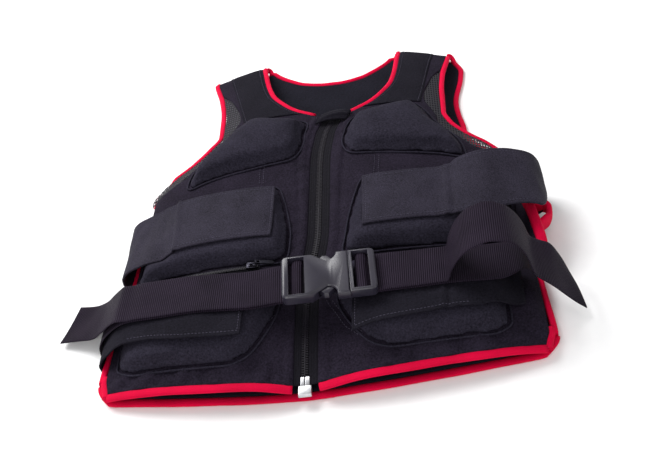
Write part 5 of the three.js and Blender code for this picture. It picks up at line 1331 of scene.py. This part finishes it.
# %% Trees of Geometry Nodes
class Recipe:
    KINDS = {float: "NodeSocketFloat", int: "NodeSocketInt", "material": "NodeSocketMaterial"}

    def __init__(self, name, **sizes):
        self.tree = bpy.data.node_groups.new(name, "GeometryNodeTree")
        sockets = self.tree.interface
        sockets.new_socket("Line", in_out="INPUT", socket_type="NodeSocketGeometry")
        self.names = {}
        for key, value in {**sizes, "finish": "material"}.items():
            kind = self.KINDS.get(value if isinstance(value, str) else type(value))
            self.names[key] = sockets.new_socket(key, in_out="INPUT", socket_type=kind).identifier
        sockets.new_socket("Made", in_out="OUTPUT", socket_type="NodeSocketGeometry")
        self.given = self.tree.nodes.new("NodeGroupInput").outputs
        self.sizes = sizes

    def node(self, kind, settings=None, inputs=None, output=0):
        made = self.tree.nodes.new(kind)
        for key, value in (settings or {}).items():
            setattr(made, key, value)
        for key, value in (inputs or {}).items():
            if isinstance(value, bpy.types.NodeSocket):
                self.tree.links.new(value, made.inputs[key])
            else:
                made.inputs[key].default_value = value
        return made.outputs[output]

    def finish(self, made):
        plain = self.node("GeometryNodeRealizeInstances", {}, {"Geometry": made})
        plain = self.node("GeometryNodeSetMaterial", {}, {"Geometry": plain, "Material": self.given["finish"]})
        end = self.tree.nodes.new("NodeGroupOutput")
        self.tree.links.new(plain, end.inputs[0])
        return self

    def follow(self, name, line, finish, closed=False, **sizes):
        line = np.asarray(line) * MM
        edges = [(i, i + 1) for i in range(len(line) - 1)] + ([(len(line) - 1, 0)] if closed else [])
        mesh = bpy.data.meshes.new(name)
        mesh.from_pydata(line.tolist(), edges, [])
        piece = bpy.data.objects.new(name, mesh)
        bpy.context.scene.collection.objects.link(piece)
        modifier = piece.modifiers.new("made", "NODES")
        modifier.node_group = self.tree
        for key, value in {**self.sizes, **sizes, "finish": finish}.items():
            modifier[self.names[key]] = value
        return settled(piece)


print("recipes ready")

# %% [markdown]
# Piping is a cord sewn into the seam round each pad. The tree turns the line into a curve, spaces its
# points evenly and sweeps a small circle along it.


# %% Piping
def piping_recipe():
    recipe = Recipe("piping", radius=0.0011, spacing=0.002)
    curve = recipe.node("GeometryNodeMeshToCurve", {}, {"Mesh": recipe.given["Line"]})
    curve = recipe.node("GeometryNodeResampleCurve", {"mode": "LENGTH"}, {
        "Curve": curve, "Length": recipe.given["spacing"]})
    circle = recipe.node("GeometryNodeCurvePrimitiveCircle", {}, {
        "Resolution": 10, "Radius": recipe.given["radius"]})
    cord = recipe.node("GeometryNodeCurveToMesh", {}, {
        "Curve": curve, "Profile Curve": circle, "Fill Caps": True})
    return recipe.finish(recipe.node("GeometryNodeSetShadeSmooth", {}, {"Geometry": cord}))


piping = piping_recipe()


def offset_outline(outline, distance):
    along = np.roll(outline, -1, 0) - np.roll(outline, 1, 0)
    along /= np.linalg.norm(along, axis=1, keepdims=True)
    out = np.stack([along[:, 1], -along[:, 0]], 1)
    centre = outline.mean(0)
    out *= np.sign(np.einsum("ij,ij->", out, outline - centre))
    return outline + out * distance


for kind in PAD_CORNERS:
    for name, side in SIDES.items():
        line = offset_outline(rounded_outline(kind, side), 1.5)
        gx, row = line.T
        cord = place(gx, row, front_top(np.abs(gx), row) + 1.3)
        wear(piping.follow(f"piping_{kind}_{name}", cord, pad_cloth, closed=True), "pad_cloth")
print("piping sewn round", 2 * len(PAD_CORNERS), "pads")

# %% [markdown]
# ## Shoulder patches and the zip's cover
#
# Each shoulder has a patch sewn flat on the cloth. Its rim is stitched down, so it is pulled in
# along a line just inside the rim. The cover over the top of the zip is a short tongue of cloth, folded
# over and puffed up.


# %% Patches and cover
def shoulder_patch(name, side):
    row = rows_between(0.447 * HALF_LENGTH, 0.955 * HALF_LENGTH, 3)[:, None]
    share = (row - row[0]) / (row[-1] - row[0])
    gx = blend_between(neck_inner(row) + 9, blend_between(111, 138, share), np.linspace(0, 1, 26)[None, :])
    inward = np.minimum(gx - gx[:, :1], gx[:, -1:] - gx)
    stitch = -0.3 * np.exp(-((inward - 2.6) / 0.8) ** 2) + 0.35 * ease(2, 9, inward)
    middle = place(side * gx, row, front_top(gx, row) + 0.6 + stitch)
    return cloth_sheet(f"shoulder_patch_cloth_{name}", middle, 0.9, patch_cloth)


def zip_cover():
    u, v = np.linspace(0, 1, 31)[None, :], np.linspace(0, 1, 16)[:, None]
    gx = blend_between(-15.1, 20.9, u) + 2.5 * (v - 0.5)
    row = 102.5 + 17 * v + 5 * u + 1.6 * np.sin(3 * u + 1)
    crease = 1.4 * np.exp(-((v - 0.2 - 0.3 * u) / 0.12) ** 2)
    puff = np.sin(np.pi * u) ** 0.7 * (3.6 + 2.2 * np.sin(np.pi * v)) + crease
    middle = place(gx, row, front_top(np.abs(gx), 102.5 + 0 * gx) + 1.7 + puff)
    return cloth_sheet("zip_cover_cloth", middle, 2.2, patch_cloth)


for name, side in SIDES.items():
    wear(shoulder_patch(name, side), "smooth_cloth", f"shoulder_patch_{name}")
wear(zip_cover(), "smooth_cloth", "zip_garage")
print("patches and cover sewn on")

# %% [markdown]
# ## Zips
#
# The front zip has moulded teeth on a woven tape. One recipe sets a pair of teeth at equal steps along the
# zip's line, one tooth from each side and half a step apart, turned so that they follow the line. The same
# recipe, with smaller sizes, makes the pocket's zip.


# %% Zip teeth
def teeth_recipe():
    recipe = Recipe("zip_teeth", pitch=0.0026, reach=0.0034, height=0.0026)
    curve = recipe.node("GeometryNodeMeshToCurve", {}, {"Mesh": recipe.given["Line"]})
    points = recipe.node("GeometryNodeCurveToPoints", {"mode": "LENGTH"}, {
        "Curve": curve, "Length": recipe.given["pitch"]})
    tangent = points.node.outputs["Tangent"]
    turn = recipe.node("FunctionNodeAlignRotationToVector", {"axis": "X"}, {"Vector": tangent})
    turn = recipe.node("FunctionNodeAlignRotationToVector", {"axis": "Z", "pivot_axis": "X"}, {
        "Rotation": turn, "Vector": (0, 0, 1)})

    def times(value, factor):
        return recipe.node("ShaderNodeMath", {"operation": "MULTIPLY"}, {0: value, 1: factor})

    def vector(x, y, z):
        values = {key: value for key, value in zip("XYZ", (x, y, z))}
        return recipe.node("ShaderNodeCombineXYZ", {}, values)

    pitch, reach, height = (recipe.given[key] for key in ("pitch", "reach", "height"))
    pair = recipe.tree.nodes.new("GeometryNodeJoinGeometry")
    for way in (-1, 1):
        shank = recipe.node("GeometryNodeMeshCube", {}, {"Size": vector(times(pitch, 0.46), reach, height)})
        shank = recipe.node("GeometryNodeTransform", {}, {
            "Geometry": shank, "Translation": vector(times(pitch, 0.25 * way), times(reach, 0.42 * way), 0.0)})
        head = recipe.node("GeometryNodeMeshCube", {}, {
            "Size": vector(times(pitch, 0.62), times(reach, 0.34), times(height, 1.25))})
        head = recipe.node("GeometryNodeTransform", {}, {
            "Geometry": head, "Translation": vector(times(pitch, 0.25 * way), 0.0, 0.0)})
        for part in (shank, head):
            recipe.tree.links.new(part, pair.inputs[0])
    made = recipe.node("GeometryNodeInstanceOnPoints", {}, {
        "Points": points, "Instance": pair.outputs[0], "Rotation": turn})
    return recipe.finish(made)


zip_teeth = teeth_recipe()
row = rows_between(-274, 118, 4)
line = place(0 * row, row, front_height(0 * row, row))
wear(zip_teeth.follow("front_zip_teeth", line, zip_plastic), "zip_plastic", "zip_chain")
print("front zip has teeth")

# %% [markdown]
# The tape is woven with a few thick warp threads beside the teeth, which show as fine lines along the zip.
# The retainer box and the pins at the bottom end are plated metal. They keep the CAD shape, merged and with
# softened edges.


# %% Zip tape and metal ends
BOX_TOP, PINS_TOP = -285.7, -275.4


def zip_tape(name, side):
    row = rows_between(HEM + HEM_INSET, 119, 3)[:, None]
    inner = np.where(row < BOX_TOP, 6.8, np.where(row < PINS_TOP, 4.8, 3.5))
    gx = blend_between(inner, ZIP_HALF - SEAT, np.linspace(0, 1, 22)[None, :])
    warp = 0.32 * np.exp(-((gx - 5.6) / 0.5) ** 2) + 0.32 * np.exp(-((gx - 7.6) / 0.5) ** 2)
    warp = warp + 0.5 * np.exp(-((gx - 10.4) / 0.8) ** 2)
    middle = place(side * gx, row, front_height(gx, row) + warp)
    return cloth_sheet(f"zip_tape_cloth_{name}", middle, 1.0, zip_tape_cloth)


def softened(name, node, finish, width=0.4, body="vest", slot="zip_metal"):
    """A copy of a CAD node, merged into one skin, with its edges rounded over."""
    piece = bpy.data.objects.new(name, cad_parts[node].data.copy())
    bpy.context.scene.collection.objects.link(piece)
    work = bmesh.new()
    work.from_mesh(piece.data)
    bmesh.ops.remove_doubles(work, verts=work.verts, dist=1e-5)
    bmesh.ops.dissolve_limit(work, angle_limit=np.radians(2), verts=work.verts, edges=work.edges)
    work.to_mesh(piece.data)
    work.free()
    piece.data.materials.clear()
    piece.data.materials.append(finish)
    piece.data.shade_smooth()
    bevel = piece.modifiers.new("soft_edges", "BEVEL")
    bevel.width, bevel.segments, bevel.limit_method = width * MM, 3, "ANGLE"
    bevel.angle_limit = np.radians(38)
    bevel.harden_normals = True
    return wear(settled(piece), slot, node, body=body)


for name, side in SIDES.items():
    wear(zip_tape(name, side), "zip_cloth", f"zip_tape_{name}")
    softened(f"zip_pin_{name}", f"zip_end_pin_{name}", plated_zinc, 0.5)
softened("zip_box", "zip_retainer_box", plated_zinc, 0.8)
print("front zip dressed")

# %% [markdown]
# The pocket between the upper and lower pads on the wearer's right closes with a finer zip. It runs in the
# crease, so only its tape's edges and a line of teeth show.


# %% Pocket zip
POCKET_ROW = -140.97


def pocket_line(gx):
    rows = POCKET_ROW + np.array([-4, 0, 4])
    return np.max([front_top(gx, r) for r in rows], axis=0) + 0.6


def pocket_zip():
    gx = np.linspace(172, 58, 58)[:, None]
    v = np.linspace(-1, 1, 17)[None, :]
    rolled = 1.1 * np.abs(v) ** 6 - 0.15 * (1 - v ** 2)
    middle = place(-gx, POCKET_ROW + 4 * v, pocket_line(gx) + 0.55 + rolled)
    wear(cloth_sheet("pocket_tape_cloth", middle, 0.9, zip_tape_cloth), "zip_cloth", "pocket_zip_tape")
    gx = np.linspace(172, 61, 40)
    line = place(-gx, POCKET_ROW + 0 * gx, pocket_line(gx) + 2)
    teeth = zip_teeth.follow("pocket_teeth", line, zip_plastic, pitch=0.0017, reach=0.0022, height=0.0014)
    wear(teeth, "zip_plastic", "pocket_zip_chain")
    softened("pocket_slider", "pocket_zip_slider", dark_plate, 0.5)
    softened("pocket_pull", "pocket_zip_pull", dark_plate, 0.35, body="zip_pull")


pocket_zip()
print("pocket zip dressed")

# %% [markdown]
# ## Buckle
#
# The buckle is the one large hard piece, and its CAD form already has the ladder bars, the windows and the
# arms. Moulded plastic has no sharp edge anywhere, so each half is merged and its edges are rounded over.

# %% Buckle halves
for half in ("socket", "plug"):
    softened(f"buckle_{half}_moulding", f"buckle_{half}", satin_acetal, 0.7, slot="buckle")
print("buckle moulded")

# %% [markdown]
# ## Stitches
#
# A row of stitches is one small rounded thread repeated at an even pitch, each turned along the seam. The
# tree is given a line that already lies on the cloth. Straps, patches and the seams of the fronts all use
# it.


# %% Stitch recipe
def stitch_recipe():
    recipe = Recipe("stitches", pitch=0.0036, length=0.0026, radius=0.00038)
    pitch, length, radius = (recipe.given[key] for key in ("pitch", "length", "radius"))
    curve = recipe.node("GeometryNodeMeshToCurve", {}, {"Mesh": recipe.given["Line"]})
    points = recipe.node("GeometryNodeCurveToPoints", {"mode": "LENGTH"}, {"Curve": curve, "Length": pitch})
    tangent = points.node.outputs["Tangent"]
    turn = recipe.node("FunctionNodeAlignRotationToVector", {"axis": "Z"}, {"Vector": tangent})
    half = recipe.node("ShaderNodeMath", {"operation": "MULTIPLY"}, {0: length, 1: 0.5})
    size = recipe.node("ShaderNodeCombineXYZ", {}, {"X": radius, "Y": radius, "Z": half})
    thread = recipe.node("GeometryNodeMeshUVSphere", {}, {"Segments": 6, "Rings": 4, "Radius": 1.0})
    thread = recipe.node("GeometryNodeTransform", {}, {"Geometry": thread, "Scale": size})
    made = recipe.node("GeometryNodeInstanceOnPoints", {}, {
        "Points": points, "Instance": thread, "Rotation": turn})
    return recipe.finish(made)


stitches = stitch_recipe()


def on_sheet(name, j, i, lift):
    """Points on the upper face of a sheet, at fractional rows j and columns i of its middle surface."""
    middle = cut_from[name]
    normal = surface_normals(middle)
    normal *= np.sign(normal[len(normal) // 3, 2, 2])
    grid = np.concatenate([middle, normal], axis=2)
    j, i = np.broadcast_arrays(np.asarray(j, float), np.asarray(i, float))
    j0, i0 = np.clip(j.astype(int), 0, len(middle) - 2), np.clip(i.astype(int), 0, middle.shape[1] - 2)
    a, b = (j - j0)[:, None], (i - i0)[:, None]
    low = blend_between(grid[j0, i0], grid[j0, i0 + 1], b)
    high = blend_between(grid[j0 + 1, i0], grid[j0 + 1, i0 + 1], b)
    at = blend_between(low, high, a)
    return at[:, :3] + at[:, 3:] * lift


def sew(name, line, thread=stitch_thread, slot="smooth_cloth", **sizes):
    return wear(stitches.follow(name, line, thread, **sizes), slot)


print("stitches every", stitches.sizes["pitch"] * 1000, "mm")

# %% [markdown]
# Each strap is sewn along both long edges and across its end, 4.4 mm in from the rim. The patches are sewn
# along both long edges.

# %% Sewn straps and patches
RIM_STITCH = 4.4
for kind, lift, in_from_rim in (("upper_strap", 1.3, 2.2), ("lower_strap", 1.1, 2.27)):
    for name in SIDES:
        piece = f"{kind}_{name}_cloth"
        rows, columns = cut_from[piece].shape[:2]
        far = int(rows * 0.66)
        near = RIM_STITCH / STRAP_STEP
        low, high = in_from_rim, columns - 1 - in_from_rim
        j = np.concatenate([np.linspace(far, near, 60), np.full(20, near), np.linspace(near, far, 60)])
        i = np.concatenate([np.full(60, low), np.linspace(low, high, 20), np.full(60, high)])
        sew(f"rim_stitches_{kind}_{name}", on_sheet(piece, j, i, lift))
for name in SIDES:
    piece = f"shoulder_patch_cloth_{name}"
    rows, columns = cut_from[piece].shape[:2]
    for edge, i in (("inner", 1.2), ("outer", columns - 2.2)):
        line = on_sheet(piece, np.linspace(0.5, rows - 1.5, 70), i, 0.65)
        sew(f"patch_stitches_{edge}_{name}", line)
print("straps and patches sewn")

# %% [markdown]
# The fronts have a short seam under each chest pad and a pair of slanting seams below the buckle. A dense
# tack holds the pocket's corner on the wearer's right. Its pale thread is the brightest stitch on the vest.


# %% Seams of the fronts and the tack
def on_front(side, line, offset=0.0):
    """A seam's points, evenly spread and laid on the front cloth, moved sideways by offset."""
    line = np.array(line, float)
    run = np.concatenate([[0], np.linalg.norm(np.diff(line, axis=0), axis=1).cumsum()])
    at = np.linspace(0, run[-1], max(8, int(run[-1] / 2)))
    gx, row = np.interp(at, run, line[:, 0]), np.interp(at, run, line[:, 1])
    along = np.stack([np.gradient(gx), np.gradient(row)], 1)
    along /= np.linalg.norm(along, axis=1, keepdims=True)
    gx, row = gx + along[:, 1] * offset, row - along[:, 0] * offset
    name = "right" if side < 0 else "left"
    return place(side * gx, row, front_top(gx, row) + front_relief(side, name, gx, row) + 0.15)


for name, side in SIDES.items():
    for k, line in enumerate(FRONT_SEAMS[name]):
        for j, offset in enumerate((-2.4, 2.4)):
            sew(f"seam_stitches_{name}_{k}_{j}", on_front(side, line, offset), slot="cloth")
TACK_ROW = -42.5
for k in range(4):
    gx, row = np.linspace(45.5, 50.5, 8), np.full(8, TACK_ROW - 0.8 * k)
    tack = place(-gx, row, front_top(gx, row) + 1.6)
    sew(f"tack_{k}", tack, pale_thread, "cloth", pitch=0.0011, length=0.0016)
print("fronts sewn")

# %% [markdown]
# ## Side loop
#
# On the wearer's left, below the upper strap, the crimson tape of the side opens into a small loose loop.
# It is a flat tape standing on its edge, so it is swept with a tall narrow section. A wider, flatter strip
# of the same tape runs on beside it towards the hem, and a fold of the body's cloth rises from the front to
# that strip.


# %% Loop of tape at the side
def tape_loop(name, stations, half_wide, half_tall):
    table = np.array(stations, float)
    run = np.concatenate([[0], np.linalg.norm(np.diff(table, axis=0), axis=1).cumsum()])
    at = np.linspace(0, run[-1], int(run[-1] / 1.5))
    path = np.stack([curve_through(*zip(run, column))(at) for column in table.T], 1)
    along = np.gradient(path, axis=0)
    along /= np.linalg.norm(along, axis=1, keepdims=True)
    out = np.cross(along, [0, 0, 1.0])
    out /= np.linalg.norm(out, axis=1, keepdims=True)
    up = np.cross(out, along)
    angle = np.linspace(0, 2 * np.pi, 16, endpoint=False)
    a = half_wide * np.sign(np.cos(angle)) * np.abs(np.cos(angle)) ** 0.7
    b = half_tall * np.sign(np.sin(angle)) * np.abs(np.sin(angle)) ** 0.7
    tall = 1 + 0.12 * np.sin(at / 6)[:, None]
    points = path[:, None] + out[:, None] * a[None, :, None] + up[:, None] * (b[None, :] * tall)[..., None]
    return swept(name, points, crimson, at, angle * 4)


loop = tape_loop("side_loop", [
    (222, -58, 17), (230, -54, 18), (238.5, -55.5, 18), (243, -62, 18), (242.5, -70, 17), (240, -77, 17),
    (235, -84, 19), (228, -92, 21)], 3.4, 8.5)
wear(loop, "binding")
strip = tape_loop("side_strip", [
    (219, -60, 30), (221.5, -74, 31), (223.5, -90, 31), (225.5, -108, 30), (227, -124, 27),
    (226, -138, 20)], 5.6, 4.4)
wear(strip, "binding")
u, v = np.meshgrid(np.linspace(0, 1, 34), np.linspace(0, 1, 27))
gx, row = blend_between(203, 224, u) + 4 * (v - 0.4), blend_between(-150, -46, v)
z = blend_between(front_top(np.minimum(gx, 214), row) + 0.6, 29.5, ease(0.15, 1, u))
z = z + 0.9 * np.sin(u * 6 * np.pi)
side_fold = cloth_sheet("side_fold_cloth", place(gx, row, z), 1.4, body_cloth)
wear(side_fold, "cloth")
print("side loop made")

# %% [markdown]
# ## Flat sizes
#
# Every sheet says the size it was cut to, apart from the zip tapes, which are trim under 10 mm wide. The
# sizes are those of its middle surface: the greatest width and length of the piece laid out flat, and its
# own area where the outline isn't a rectangle.

LIES_ON = {
    "front_cloth": "back_panel", "back_cloth": "floor", "open_mesh": "back_panel", "mesh_backing": "back_panel",
    "shoulder_patch": "front_panel", "zip_cover": "zip_chain", "upper_strap": "rib_pad",
    "lower_strap": "waist_pad", "waist_webbing": "lower_strap", "webbing_tail": "waist_webbing",
    "side_fold": "side_strip"}
for name, middle in cut_from.items():
    kind = next((key for key in LIES_ON if name.startswith(key)), None)
    if kind is None:
        continue
    side = next((f"_{side}" for side in SIDES if f"_{side}" in name), "")
    below = LIES_ON[kind]
    below += side if below not in ("floor", "back_panel", "zip_chain", "side_strip") else ""
    width = np.linalg.norm(np.diff(middle, axis=1), axis=2).sum(1).max() * MM
    length = np.linalg.norm(np.diff(middle, axis=0), axis=2).sum(0).max() * MM
    area = min(cloth_area(middle), width * length)
    print(name, "flat", round(width * 1000), "x", round(length * 1000), "mm, area", round(area, 4), "on", below)
